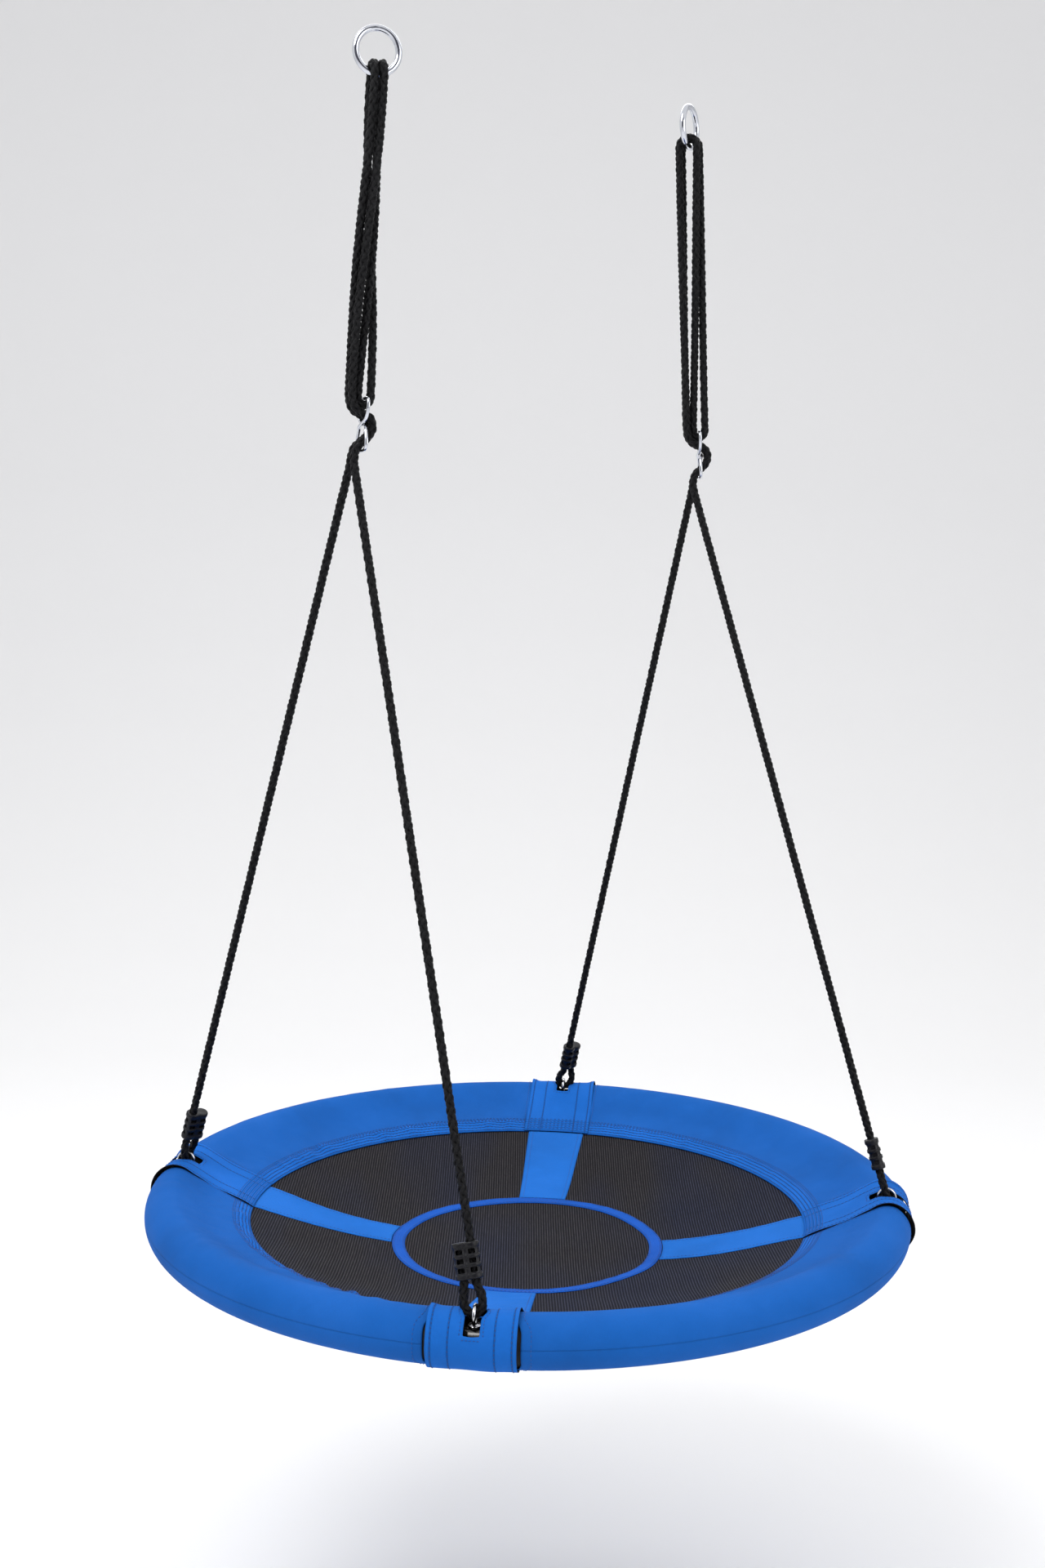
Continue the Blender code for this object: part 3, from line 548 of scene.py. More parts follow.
BLUE = (0.011, 0.148, 0.600)
CHROME = metal("ring_chrome", (0.66, 0.68, 0.74), 0.13)
CHROME2 = metal("adjuster_chrome", (0.66, 0.68, 0.74), 0.12)
CHROME3 = metal("eye_chrome", (0.60, 0.61, 0.64), 0.15)
ZINC = metal("hardware_zinc", (0.55, 0.56, 0.58), 0.34, 1.0)
ROPE_MAT = rope_material()
CLAMP_MAT = plastic("clamp_black_plastic", (0.006, 0.006, 0.008), 0.36)
TUBE_MAT = powder_coat()
FOAM_MAT = foam_material()
SEAM_V = 0.1574
COVER_MAT = fabric("cover_blue", BLUE, 0.84, hem=True, seams_v=(SEAM_V - 0.0026,))
# painted shade: the panel below the outer seam is the same cover blue made 26% darker, standing in for the shade on
# the rim's underside
COVER_UNDER_SHADED = fabric("cover_blue_under", tuple(v * 0.74 for v in BLUE), 0.84, seams_v=(SEAM_V + 0.0026,))
STRAP_MAT = fabric("strap_blue", (0.010, 0.138, 0.560), 0.86, pitch=0.0012, hem=True, seams_u=(0.025, 0.044))
LINER_MAT = fabric("liner_black", (0.012, 0.012, 0.014), 0.8)
MESH_MAT = mesh_material()
CENTRE_MAT = webbing("webbing_royal", (0.005, 0.100, 0.530))
RADIAL_MAT = fabric("radial_blue", (0.013, 0.150, 0.580), 0.86, pitch=0.0010)


def thread_mat(name, rgb):
    t = Tree(name, rgb, 0.55)
    n = t.noise(t.coords("Object"), 2500.0, 2.0)
    t.color(t.ramp(n, [(0.3, tuple(v * 0.7 for v in rgb)), (0.7, rgb)]))
    t.normal(t.bump(n, 0.0001, 0.8))
    return t.m


THREAD = thread_mat("thread_navy", (0.010, 0.055, 0.260))
THREAD_SOFT = thread_mat("thread_blue", (0.016, 0.090, 0.380))

# ------------------------------------------------------- the ropes' real line
EYES_OF = ((0, 1), (3, 2))


def eye_centre(k):
    a = math.radians(EYE_AZ[k])
    return np.array([SEAT_X + RIM_R * math.cos(a), RIM_R * math.sin(a), SEAT_Z + EYE_UP])


def eye_tangent(k):
    a = math.radians(EYE_AZ[k])
    return np.array([-math.sin(a), math.cos(a), 0.0])


def hang_axis(s):
    top = np.array([RING_X[s], 0.0, AXIS_Z])
    mid = (eye_centre(EYES_OF[s][0]) + eye_centre(EYES_OF[s][1])) / 2
    d = top - mid
    return top, d / np.linalg.norm(d)


def on_axis(s, z):
    top, u = hang_axis(s)
    return top + u * ((z - top[2]) / u[2])


def pattern(s, t):
    a0, a1 = PATTERN_TURN[s]
    a = a0 + (a1 - a0) * t * t * (3 - 2 * t)
    return turned(a), turned(a + 90.0)


HALF, PITCH = BIGHT_HALF / MM, BIGHT_PITCH / MM / 2
AT_RING = {"A": (-HALF, PITCH), "B": (HALF, PITCH), "C": (HALF, -PITCH), "D": (-HALF, -PITCH)}
AT_ADJ = {"A": (-11.5, 5.8), "B": (13.8, 0.0), "C": (-1.9, 0.0), "D": (-11.5, -5.8)}


def strand(s, which, count=25):
    z0, z1 = AXIS_Z - STRAND_START, ADJ_Z + 46.0 * MM
    out = []
    for i in range(count):
        t = i / (count - 1)
        mv, pv = pattern(s, t)
        (m0, p0), (m1, p1) = AT_RING[which], AT_ADJ[which]
        mm = m0 + (m1 - m0) * (t if which in "BC" else t * t * (3 - 2 * t))
        pp = p0 + (p1 - p0) * t * t
        out.append(on_axis(s, z0 + (z1 - z0) * t) + (mm * mv + pp * pv) * MM)
    return out


def local(s, m_mm, p_mm, z_mm):
    mv, pv = pattern(s, 1.0)
    return on_axis(s, ADJ_Z + z_mm * MM) + (m_mm * mv + p_mm * pv) * MM


THROUGH = [
    (-11.0, 33.0), (-8.6, 22.4), (-2.0, 15.4), (6.0, 12.0), (13.2, 8.0), (16.6, 0.4),
    (16.0, -7.0), (12.2, -14.0), (6.0, -19.5), (-0.3, -25.5), (-3.6, -34.0), (-4.4, -44.0),
]


def clamp_frame(k, q):
    e = eye_centre(k)
    u = q - e
    u /= np.linalg.norm(u)
    t = eye_tangent(k)
    t = t - (t @ u) * u
    t /= np.linalg.norm(t)
    f = np.cross(u, t)
    a = math.radians(CLAMP_TWIST[k])
    return e, u, t, f, math.cos(a) * t + math.sin(a) * f


def leg_exit(s, which):
    return local(s, -4.4, 5.8 if which == "A" else -5.8, -44.0)


def catmull(points, step):
    p = [np.array(q, float) for q in points]
    n = len(p)
    out = []
    for i in range(n - 1):
        a, b = p[i], p[i + 1]
        z = p[i - 1] if i > 0 else 2 * a - b
        c = p[i + 2] if i + 2 < n else 2 * b - a
        k = max(1, int(math.ceil(np.linalg.norm(b - a) / step)))
        for j in range(k):
            t = j / k
            out.append(0.5 * (2 * a + (b - z) * t + (2 * z - 5 * a + 4 * b - c) * t * t + (-z + 3 * a - 3 * b + c) * t**3))
    out.append(p[-1])
    return out


def leg(s, which):
    sign = 1 if which == "A" else -1
    k = EYES_OF[s][0 if which == "A" else 1]
    pts = strand(s, which)
    through = catmull(
        [pts[-2], pts[-1]] + [local(s, a, sign * 5.8, z) for a, z in THROUGH] + [leg_exit(s, which) - 0.02 * Z],
        3.0 * MM,
    )
    e, u, t, f, wide = clamp_frame(k, leg_exit(s, which))
    half = CLAMP_PITCH / 2
    a = leg_exit(s, which)
    b = e + u * (CLAMP_UP + CLAMP_H / 2 + 14 * MM) + wide * half
    low = CLAMP_UP - CLAMP_H / 2
    shape = [
        (1.00, 6.2, low - 1.0 * MM), (0.75, 8.2, 27.0 * MM), (0.35, 10.2, 19.0 * MM),
        (0.05, 9.8, 11.0 * MM), (0.0, 6.8, 3.4 * MM), (0.0, 0.0, 0.6 * MM),
    ]
    loop = []
    for sgn, rows in ((1, shape), (-1, list(reversed(shape[:-1])))):
        for share, off, upw in rows:
            g = math.radians(CLAMP_TWIST[k] * share)
            loop.append(e + upw * u + sgn * off * MM * (math.cos(g) * t + math.sin(g) * f))
    turn_in = catmull([b, e + u * (CLAMP_UP + 12 * MM) + wide * half] + loop, 3.0 * MM)
    end = e + u * (CLAMP_UP + CLAMP_H / 2 - 6 * MM) - wide * half
    straight = [a + (b - a) * i / 12 for i in range(1, 12)]
    body = [q for q in through if q[2] > a[2] + 3 * MM and q[2] < pts[-2][2] - 0.5 * MM]
    return pts[:-1] + body[1:] + [a] + straight + turn_in + [end]


def middle(s):
    down, upw = strand(s, "B"), strand(s, "C")
    arc = [local(s, 6.0 + 7.9 * math.cos(a), 0.0, 31.0 + 7.9 * math.sin(a)) for a in (-math.pi * i / 14 for i in range(15))]
    return down + arc + upw[::-1]


def arch(s, which):
    mv, pv = pattern(s, 0.0)
    off = PITCH if which == 0 else -PITCH
    top, u = hang_axis(s)
    c = top + off * MM * pv
    pts = [c - BIGHT_HALF * mv - u * BIGHT_END, c - BIGHT_HALF * mv - u * 7 * MM]
    for i in range(17):
        a = math.pi * i / 16
        pts.append(c - BIGHT_HALF * math.cos(a) * mv + BIGHT_TOP * math.sin(a) * Z)
    return pts + [c + BIGHT_HALF * mv - u * 7 * MM, c + BIGHT_HALF * mv - u * BIGHT_END]


def braid(name, p):
    """A hollow eight-strand plait over a core, along p (even steps)."""
    t, U, V = frames_along(p)
    s = np.r_[0, np.cumsum(np.linalg.norm(np.diff(p, axis=0), axis=1))]
    turn = 56.0 * MM
    R, lift, w, h = 3.15 * MM, 0.95 * MM, 2.35 * MM, 1.55 * MM
    sides = 6
    al = 2 * np.pi * np.arange(sides) / sides
    verts, faces, uvs, base = [], [], [], 0
    n = len(p)
    for sgn in (1, -1):
        for k in range(4):
            ph = sgn * 2 * np.pi * s / turn + k * np.pi / 2
            wob = 0.10 * np.sin(2 * np.pi * s / (turn * 3.7) + k * 1.3 + sgn)
            r = R + sgn * lift * np.cos(8 * np.pi * s / turn) + 0.12 * MM * np.sin(s * 95.0 + k * 2.1)
            nrm = np.cos(ph + wob)[:, None] * U + np.sin(ph + wob)[:, None] * V
            c = p + r[:, None] * nrm
            d = np.gradient(c, axis=0)
            d /= np.linalg.norm(d, axis=1)[:, None]
            side = np.cross(nrm, d)
            side /= np.linalg.norm(side, axis=1)[:, None]
            co = c[:, None] + (w * np.cos(al))[None, :, None] * side[:, None] + (h * np.sin(al))[None, :, None] * nrm[:, None]
            verts.append(co.reshape(-1, 3))
            faces.append(grid_faces(n, sides, False, True, base))
            Ug = np.repeat(((np.arange(sides) / sides) + k * 1.7 + sgn)[None], n, 0)
            Vg = np.repeat(s[:, None] * 10, sides, 1)
            Ug2 = np.hstack([Ug, Ug[:, :1] + 1.0])
            Vg2 = np.hstack([Vg, Vg[:, :1]])
            st = lambda A, B: np.stack([A, B], -1)
            uvs.append(np.stack([st(Ug2[:-1, :-1], Vg2[:-1, :-1]), st(Ug2[:-1, 1:], Vg2[:-1, 1:]), st(Ug2[1:, 1:], Vg2[1:, 1:]), st(Ug2[1:, :-1], Vg2[1:, :-1])], 2).reshape(-1, 2))
            base += n * sides
    # the core
    sides = 8
    al = 2 * np.pi * np.arange(sides) / sides
    co = p[:, None] + 2.3 * MM * (np.cos(al)[None, :, None] * U[:, None] + np.sin(al)[None, :, None] * V[:, None])
    verts.append(co.reshape(-1, 3))
    faces.append(grid_faces(n, sides, False, True, base))
    uvs.append(np.zeros(((n - 1) * sides * 4, 2)))
    return mesh_object(name, np.concatenate(verts), np.concatenate(faces), np.concatenate(uvs), [ROPE_MAT])


cord_facts = {}
for s, side in enumerate(SIDES):
    line = leg(s, "A")[::-1] + arch(s, 0) + middle(s) + arch(s, 1)[::-1] + leg(s, "D")
    p = even(line, 2.2 * MM, 2.6 * MM)
    length = float(np.linalg.norm(np.diff(p, axis=0), axis=1).sum())
    o = braid("rope_" + side, p)
    legs = [f"rope_{side}_leg_{EYE_NAMES[k]}" for k in EYES_OF[s]]
    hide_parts(*legs, f"rope_{side}_middle", f"rope_{side}_bight_1", f"rope_{side}_bight_2")
    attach(o, side + "_ropes")
    cord_facts[side] = length
print("rope lengths", cord_facts)


# ------------------------------------------------------------- ring, adjuster
def weld_mark(p, centre, amount, width):
    """Radii of a bent wire with a small ground-down weld at one place."""
    d = np.linalg.norm(np.asarray(p) - np.asarray(centre), axis=1)
    return amount * np.exp(-((d / width) ** 2))


for s, side in enumerate(SIDES):
    w = turned(RING_TURN[s])
    c = np.array([RING_X[s], 0.0, -(RING_MEAN_R - RING_WIRE / 2)])
    a = 2 * np.pi * np.arange(160) / 160
    p = c + RING_MEAN_R * (np.cos(a)[:, None] * w + np.sin(a)[:, None] * Z)
    spot = c + RING_MEAN_R * (math.cos(1.62) * w + math.sin(1.62) * Z)
    r = RING_WIRE / 2 + weld_mark(p, spot, 0.22 * MM, 1.6 * MM) - weld_mark(p, spot, 0.16 * MM, 0.7 * MM)
    o = tube("hang_ring_" + side, p, r, 28, [CHROME], closed=True)
    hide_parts("ring_" + side)
    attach(o, "hang_rings")

    fine = []
    for i in range(1440):
        a = 2 * math.pi * i / 1440
        z = ADJ_HALF_H / MM * math.sin(a)
        q = ADJ_HALF_W / MM * math.copysign(abs(math.sin(2 * a)) ** 0.45, math.sin(2 * a))
        mm = ADJ_OFF / MM + math.copysign(2.5 * math.exp(-((z / 4.0) ** 2)), math.cos(a))
        fine.append(local(s, mm, q, z))
    fine = np.array(fine)
    # round the corners a little as a bent wire has them
    g = np.exp(-0.5 * (np.arange(-24, 25) / 9.0) ** 2)
    g /= g.sum()
    pad = np.vstack([fine[-24:], fine, fine[:24]])
    fine = np.stack([np.convolve(pad[:, i], g, "valid") for i in range(3)], 1)
    p = even(fine, 1.2 * MM, closed=True)
    spot = local(s, ADJ_OFF / MM, -ADJ_HALF_W / MM * 0.9, -6.0)
    near = p[np.argmin(np.linalg.norm(p - spot, axis=1))]
    r = ADJ_WIRE / 2 + weld_mark(p, near, 0.25 * MM, 1.3 * MM)
    o = tube("adjuster_wire_" + side, p, r, 18, [CHROME2], closed=True)
    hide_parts("adjuster_" + side)
    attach(o, side + "_ropes")


# -------------------------------------------------------------------- clamps
def peanut(r, pitch, half_count):
    ang = math.degrees(math.acos(min(1.0, (pitch / 2 - 0.9) / r))) if r > pitch / 2 else 90
    lim = 180 - ang
    pts = []
    for lobe, (a0, a1) in ((1, (-lim, lim)), (-1, (180 - lim, 180 + lim))):
        for i in range(half_count):
            a = math.radians(a0 + (a1 - a0) * i / (half_count - 1))
            pts.append((lobe * pitch / 2 + r * math.cos(a), r * math.sin(a)))
    return pts


def cutter(name, verts, faces):
    o = mesh_object(name, verts, faces)
    weld(o)
    return o


def boolean(o, tool, op="DIFFERENCE"):
    md = o.modifiers.new("b", "BOOLEAN")
    md.object = tool
    md.operation = op
    md.solver = "EXACT"
    dg = bpy.context.evaluated_depsgraph_get()
    me = bpy.data.meshes.new_from_object(o.evaluated_get(dg), depsgraph=dg)
    o.modifiers.clear()
    o.data = me
    bpy.data.objects.remove(tool, do_unlink=True)


def prism(name, c, ax, ay, az, ring, z0, z1):
    n = len(ring)
    verts = [c + ax * x + ay * y + az * z for z in (z0, z1) for x, y in ring]
    faces = [(i, (i + 1) % n, n + (i + 1) % n, n + i) for i in range(n)]
    faces += [tuple(reversed(range(n))), tuple(range(n, 2 * n))]
    return cutter(name, verts, faces)


for s, side in enumerate(SIDES):
    for which in "AD":
        k = EYES_OF[s][0 if which == "A" else 1]
        e, u, t, f, wide = clamp_frame(k, leg_exit(s, which))
        deep = np.cross(u, wide)
        c = e + u * CLAMP_UP
        h = CLAMP_H / MM
        body, cap, rib = 8.0, 9.1, 8.95
        prof = [(-h / 2, cap - 1.3), (-h / 2 + 0.35, cap - 0.55), (-h / 2 + 1.1, cap - 0.1), (-h / 2 + 2.0, cap),
                (-h / 2 + 4.8, cap), (-h / 2 + 5.3, cap - 0.2), (-h / 2 + 5.6, body + 0.15), (-h / 2 + 5.9, body)]
        mid = []
        for zc in (-4.7, 4.7):
            mid += [(zc - 1.75, body), (zc - 1.55, body + 0.15), (zc - 1.35, rib - 0.12), (zc - 1.1, rib),
                    (zc + 1.1, rib), (zc + 1.35, rib - 0.12), (zc + 1.55, body + 0.15), (zc + 1.75, body)]
        levels = prof + mid + [(-z, r) for z, r in reversed(prof)]
        count = 22
        verts = [c + (z * u + x * wide + y * deep) * MM for z, r in levels for x, y in peanut(r, CLAMP_PITCH / MM, count)]
        n = 2 * count
        faces = [(i * n + j, i * n + (j + 1) % n, (i + 1) * n + (j + 1) % n, (i + 1) * n + j) for i in range(len(levels) - 1) for j in range(n)]
        faces += [tuple(range(n)), tuple((len(levels) - 1) * n + j for j in reversed(range(n)))]
        o = mesh_object("clamp_" + EYE_NAMES[k] + "_moulded", verts, faces)
        weld(o)
        circ = [(5.4 * math.cos(a), 5.4 * math.sin(a)) for a in (2 * math.pi * i / 32 for i in range(32))]
        for sx, top in ((1, 30.0), (-1, h / 2 - 2.4)):
            boolean(o, prism("bore", c + sx * wide * CLAMP_PITCH / 2, wide * MM, deep * MM, u * MM, circ, -30.0, top))
        for zc in (-9.7, 0.0, 9.7):
            for sx in (-1, 1):
                ring = []
                for cx, cy, a0 in ((2.9, 1.7, 0), (-2.9, 1.7, 90), (-2.9, -1.7, 180), (2.9, -1.7, 270)):
                    for q in range(4):
                        a = math.radians(a0 + 30 * q)
                        ring.append((cx + 0.9 * math.cos(a), cy + 0.9 * math.sin(a)))
                boolean(o, prism("window", c + (zc * u + sx * 7.0 * wide) * MM, wide * MM, u * MM, deep * MM, ring, -16.0, 16.0))
                # a slot in each narrow side as well
                side_ring = [(x * 0.8, y) for x, y in ring]
                boolean(o, prism("side_window", c + (zc * u + sx * 15.0 * wide) * MM, deep * MM, u * MM, wide * MM, side_ring, -3.2, 3.2))
        bm = bmesh.new()
        bm.from_mesh(o.data)
        bmesh.ops.dissolve_degenerate(bm, dist=1e-6, edges=bm.edges)
        bmesh.ops.recalc_face_normals(bm, faces=bm.faces[:])
        for fc in bm.faces:
            fc.smooth = True
            fc.material_index = 0
        for ed in bm.edges:
            ed.smooth = not (len(ed.link_faces) == 2 and ed.calc_face_angle(0) > math.radians(38))
        bm.to_mesh(o.data)
        bm.free()
        o.data.materials.clear()
        o.data.materials.append(CLAMP_MAT)
        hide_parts("clamp_" + EYE_NAMES[k])
        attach(o, side + "_ropes")


# ---------------------------------------------------------- eye bolts, frame
def lathe(name, c, axis, profile, sides, mats):
    """profile is (radius, height) pairs along axis from c."""
    ax = np.array(axis, float)
    ref = np.array([1.0, 0, 0])
    u = ref - (ref @ ax) * ax
    u /= np.linalg.norm(u)
    v = np.cross(ax, u)
    w = 2 * np.pi * np.arange(sides) / sides
    co = []
    for r, z in profile:
        co.append(c + z * ax + r * (np.cos(w)[:, None] * u + np.sin(w)[:, None] * v))
    co = np.array(co)
    n = len(profile)
    faces = [tuple(x) for x in grid_faces(n, sides, False, True)]
    faces += [tuple(reversed(range(sides))), tuple((n - 1) * sides + i for i in range(sides))]
    o = mesh_object(name, co.reshape(-1, 3), faces, None, mats)
    weld(o)
    sharp(o, 35)
    return o


def sharp(o, deg):
    bm = bmesh.new()
    bm.from_mesh(o.data)
    for fc in bm.faces:
        fc.smooth = True
    for ed in bm.edges:
        ed.smooth = not (len(ed.link_faces) == 2 and ed.calc_face_angle(0) > math.radians(deg))
    bm.to_mesh(o.data)
    bm.free()


FLAT = TUBE_R * math.cos(math.radians(15.0))
for k in range(4):
    e = eye_centre(k)
    axis = np.array([e[0], e[1], SEAT_Z])
    t = eye_tangent(k)
    rad = np.cross(t, Z)
    a = 2 * np.pi * np.arange(96) / 96
    p = e + EYE_R * (np.cos(a)[:, None] * rad + np.sin(a)[:, None] * Z)
    ring = tube("ring", p, EYE_WIRE / 2, 20, [CHROME3], closed=True)
    top = FLAT + 2.6 * MM
    collar = lathe("collar", axis, Z, [(4.0 * MM, -25.5 * MM), (4.0 * MM, FLAT + 0.3 * MM), (7.2 * MM, FLAT + 0.3 * MM), (7.5 * MM, FLAT + 0.6 * MM),
                                       (7.5 * MM, FLAT + 2.0 * MM), (7.1 * MM, FLAT + 2.4 * MM), (4.2 * MM, FLAT + 2.5 * MM), (2.6 * MM, FLAT + 3.0 * MM)], 40, [CHROME3])
    o = join("eye_" + EYE_NAMES[k], [ring, collar])
    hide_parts("eye_bolt_" + EYE_NAMES[k])
    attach(o, "seat")

# the frame tube in four lengths, each butted to the next over a spigot
for k in range(4):
    gap = math.degrees(0.15 * MM / RIM_R)
    az = np.radians(np.linspace(EYE_AZ[k] - 45 + gap, EYE_AZ[k] + 45 - gap, 61))
    mids = np.stack([SEAT_X + RIM_R * np.cos(az), RIM_R * np.sin(az), np.full(61, SEAT_Z)], 1)
    outer = tube("o", mids, 13.6 * MM, 32, [TUBE_MAT])
    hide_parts("frame_tube_" + EYE_NAMES[k])
    outer.name = "frame_" + EYE_NAMES[k]
    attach(outer, "seat")


# -------------------------------------------------------------- rim soft parts
def ring_point(r, z, az):
    return np.stack([SEAT_X + r * np.cos(az), r * np.sin(az), SEAT_Z + z + 0 * r], -1)


def foam_arc(k, az0, az1):
    n, m = 120, 40
    az = np.radians(np.linspace(az0, az1, n))
    w = 2 * np.pi * np.arange(m) / m
    A, W = np.meshgrid(az, w, indexing="ij")
    edge = np.minimum(A - az[0], az[-1] - A) * RIM_R
    round_off = 1.6 * MM * np.exp(-edge / (1.5 * MM))
    rr = FOAM_R * 0.985 - round_off + 0.15 * MM * np.sin(31 * A + 2 * W)
    out = ring_point(RIM_R + rr * np.cos(W), rr * np.sin(W), A)
    inn = ring_point(RIM_R + FOAM_BORE * np.cos(W), FOAM_BORE * np.sin(W), A)
    verts = np.concatenate([out.reshape(-1, 3), inn.reshape(-1, 3)])
    f1 = grid_faces(n, m, False, True)
    f2 = grid_faces(n, m, False, True, n * m)[:, ::-1]
    j = np.arange(m)
    j2 = (j + 1) % m
    cap0 = np.stack([j2, j, j + n * m, j2 + n * m], -1)
    e = (n - 1) * m
    cap1 = np.stack([j + e, j2 + e, j2 + e + n * m, j + e + n * m], -1)
    o = mesh_object(f"foam_pad_{k}", verts, np.concatenate([f1, f2, cap0, cap1]), None, [FOAM_MAT])
    weld(o)
    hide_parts(f"foam_{k}")
    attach(o, "seat")
    return o


foam_gap = math.degrees(15.0 * MM / RIM_R)
for k, az in enumerate((0.0, 90.0, 180.0, 270.0)):
    foam_arc(k + 1, az - 45 + foam_gap, az + 45 - foam_gap)


def section(radius, lip_r, thick, step):
    """The wrapped sheet's middle line in (r, z) and its length along:
    upper lip, round the outside, lower lip."""
    zt = MESH_Z + 1.0 * MM + thick / 2
    zb = MESH_Z - 1.0 * MM - thick / 2
    a = np.radians(np.linspace(116.0, -96.0, 70))
    arc = np.stack([RIM_R + radius * np.cos(a), radius * np.sin(a)], 1)
    line = np.vstack([[lip_r, zt], arc, [lip_r, zb]])
    seg = np.r_[0, np.cumsum(np.linalg.norm(np.diff(line, axis=0), axis=1))]
    n = int(seg[-1] / step) + 1
    k = np.linspace(0, seg[-1], n)
    return k, np.interp(k, seg, line[:, 0]), np.interp(k, seg, line[:, 1])


def sec_normal(r, z):
    dr, dz = np.gradient(r), np.gradient(z)
    d = np.hypot(dr, dz)
    return -dz / d, dr / d


def cover_end(r):
    """The covers' hemmed ends run on 6 mm below the straps, and pull clear of
    them on the outside of the rim, where the black foam shows."""
    k = np.clip((r - 0.476) / 0.020, 0, 1)
    clear = -6.0 * MM + 10.0 * MM * k * k * (3 - 2 * k)
    return np.degrees((STRAP_W / 2 + clear) / r)


def wave_field(seed, A, q, q_top, strength):
    """Pulls and puckers of the sewn sleeve, in metres along the normal."""
    g = np.random.default_rng(seed)
    out = np.zeros_like(A)
    span = A.max() - A.min()
    for _ in range(int(16 + 16 * strength)):
        a0 = A.min() + g.uniform(0.02, 0.98) * span
        width = g.uniform(5.0, 15.0) * MM / RIM_R
        q0 = g.uniform(0.0, 0.9) * q_top
        ql = g.uniform(25.0, 75.0) * MM
        slant = g.uniform(-0.55, 0.55)
        amp = g.uniform(0.3, 1.0) * strength * MM
        d = (A - a0) + slant * (q - q0) / RIM_R
        ridge = np.exp(-((d / width) ** 2)) - 0.55 * np.exp(-(((d - 1.6 * width) / (1.3 * width)) ** 2))
        out += amp * ridge * np.exp(-(((q - q0) / ql) ** 2))
    return out


def two_sided(name, mid, nrm, thick, U, V, mats, outer_index, edge_index=1, inner_index=1):
    """A closed sheet from its middle surface: outer face, inner face, edges."""
    n, m = mid.shape[:2]
    out = mid + nrm * thick / 2
    inn = mid - nrm * thick / 2
    verts = np.concatenate([out.reshape(-1, 3), inn.reshape(-1, 3)])
    fo = grid_faces(n, m)
    fi = grid_faces(n, m, base=n * m)[:, ::-1]
    loop = [(i, 0) for i in range(n)] + [(n - 1, j) for j in range(1, m)] + [(i, m - 1) for i in range(n - 2, -1, -1)] + [(0, j) for j in range(m - 2, 0, -1)]
    idx = np.array([i * m + j for i, j in loop])
    nxt = np.roll(idx, -1)
    fe = np.stack([nxt, idx, idx + n * m, nxt + n * m], -1)
    uvo = grid_uv(U, V)
    uvi = uvo.reshape(-1, 4, 2)[:, ::-1].reshape(-1, 2)
    Uf, Vf = U.ravel(), V.ravel()
    uve = np.stack([np.stack([Uf[nxt], Vf[nxt]], -1), np.stack([Uf[idx], Vf[idx]], -1), np.stack([Uf[idx], Vf[idx] + 0.002], -1), np.stack([Uf[nxt], Vf[nxt] + 0.002], -1)], 1).reshape(-1, 2)
    faces = np.concatenate([fo, fi, fe])
    uv = np.concatenate([uvo, uvi, uve])
    mi = np.concatenate([outer_index, np.full(len(fi), inner_index), np.full(len(fe), edge_index)])
    o = mesh_object(name, verts, faces, uv, mats, mi)
    return o


def surface_normals(mid, A):
    du = np.gradient(mid, axis=0)
    dv = np.gradient(mid, axis=1)
    n = np.cross(du, dv)
    n /= np.linalg.norm(n, axis=2)[..., None]
    # outward: away from the tube's middle line
    c = ring_point(np.full(A.shape, RIM_R), np.zeros(A.shape), A)
    if np.median(((mid - c) * n).sum(2)) < 0:
        n = -n
    return n


stitch_lines = []  # (points, normals, pitch, mat, radius)

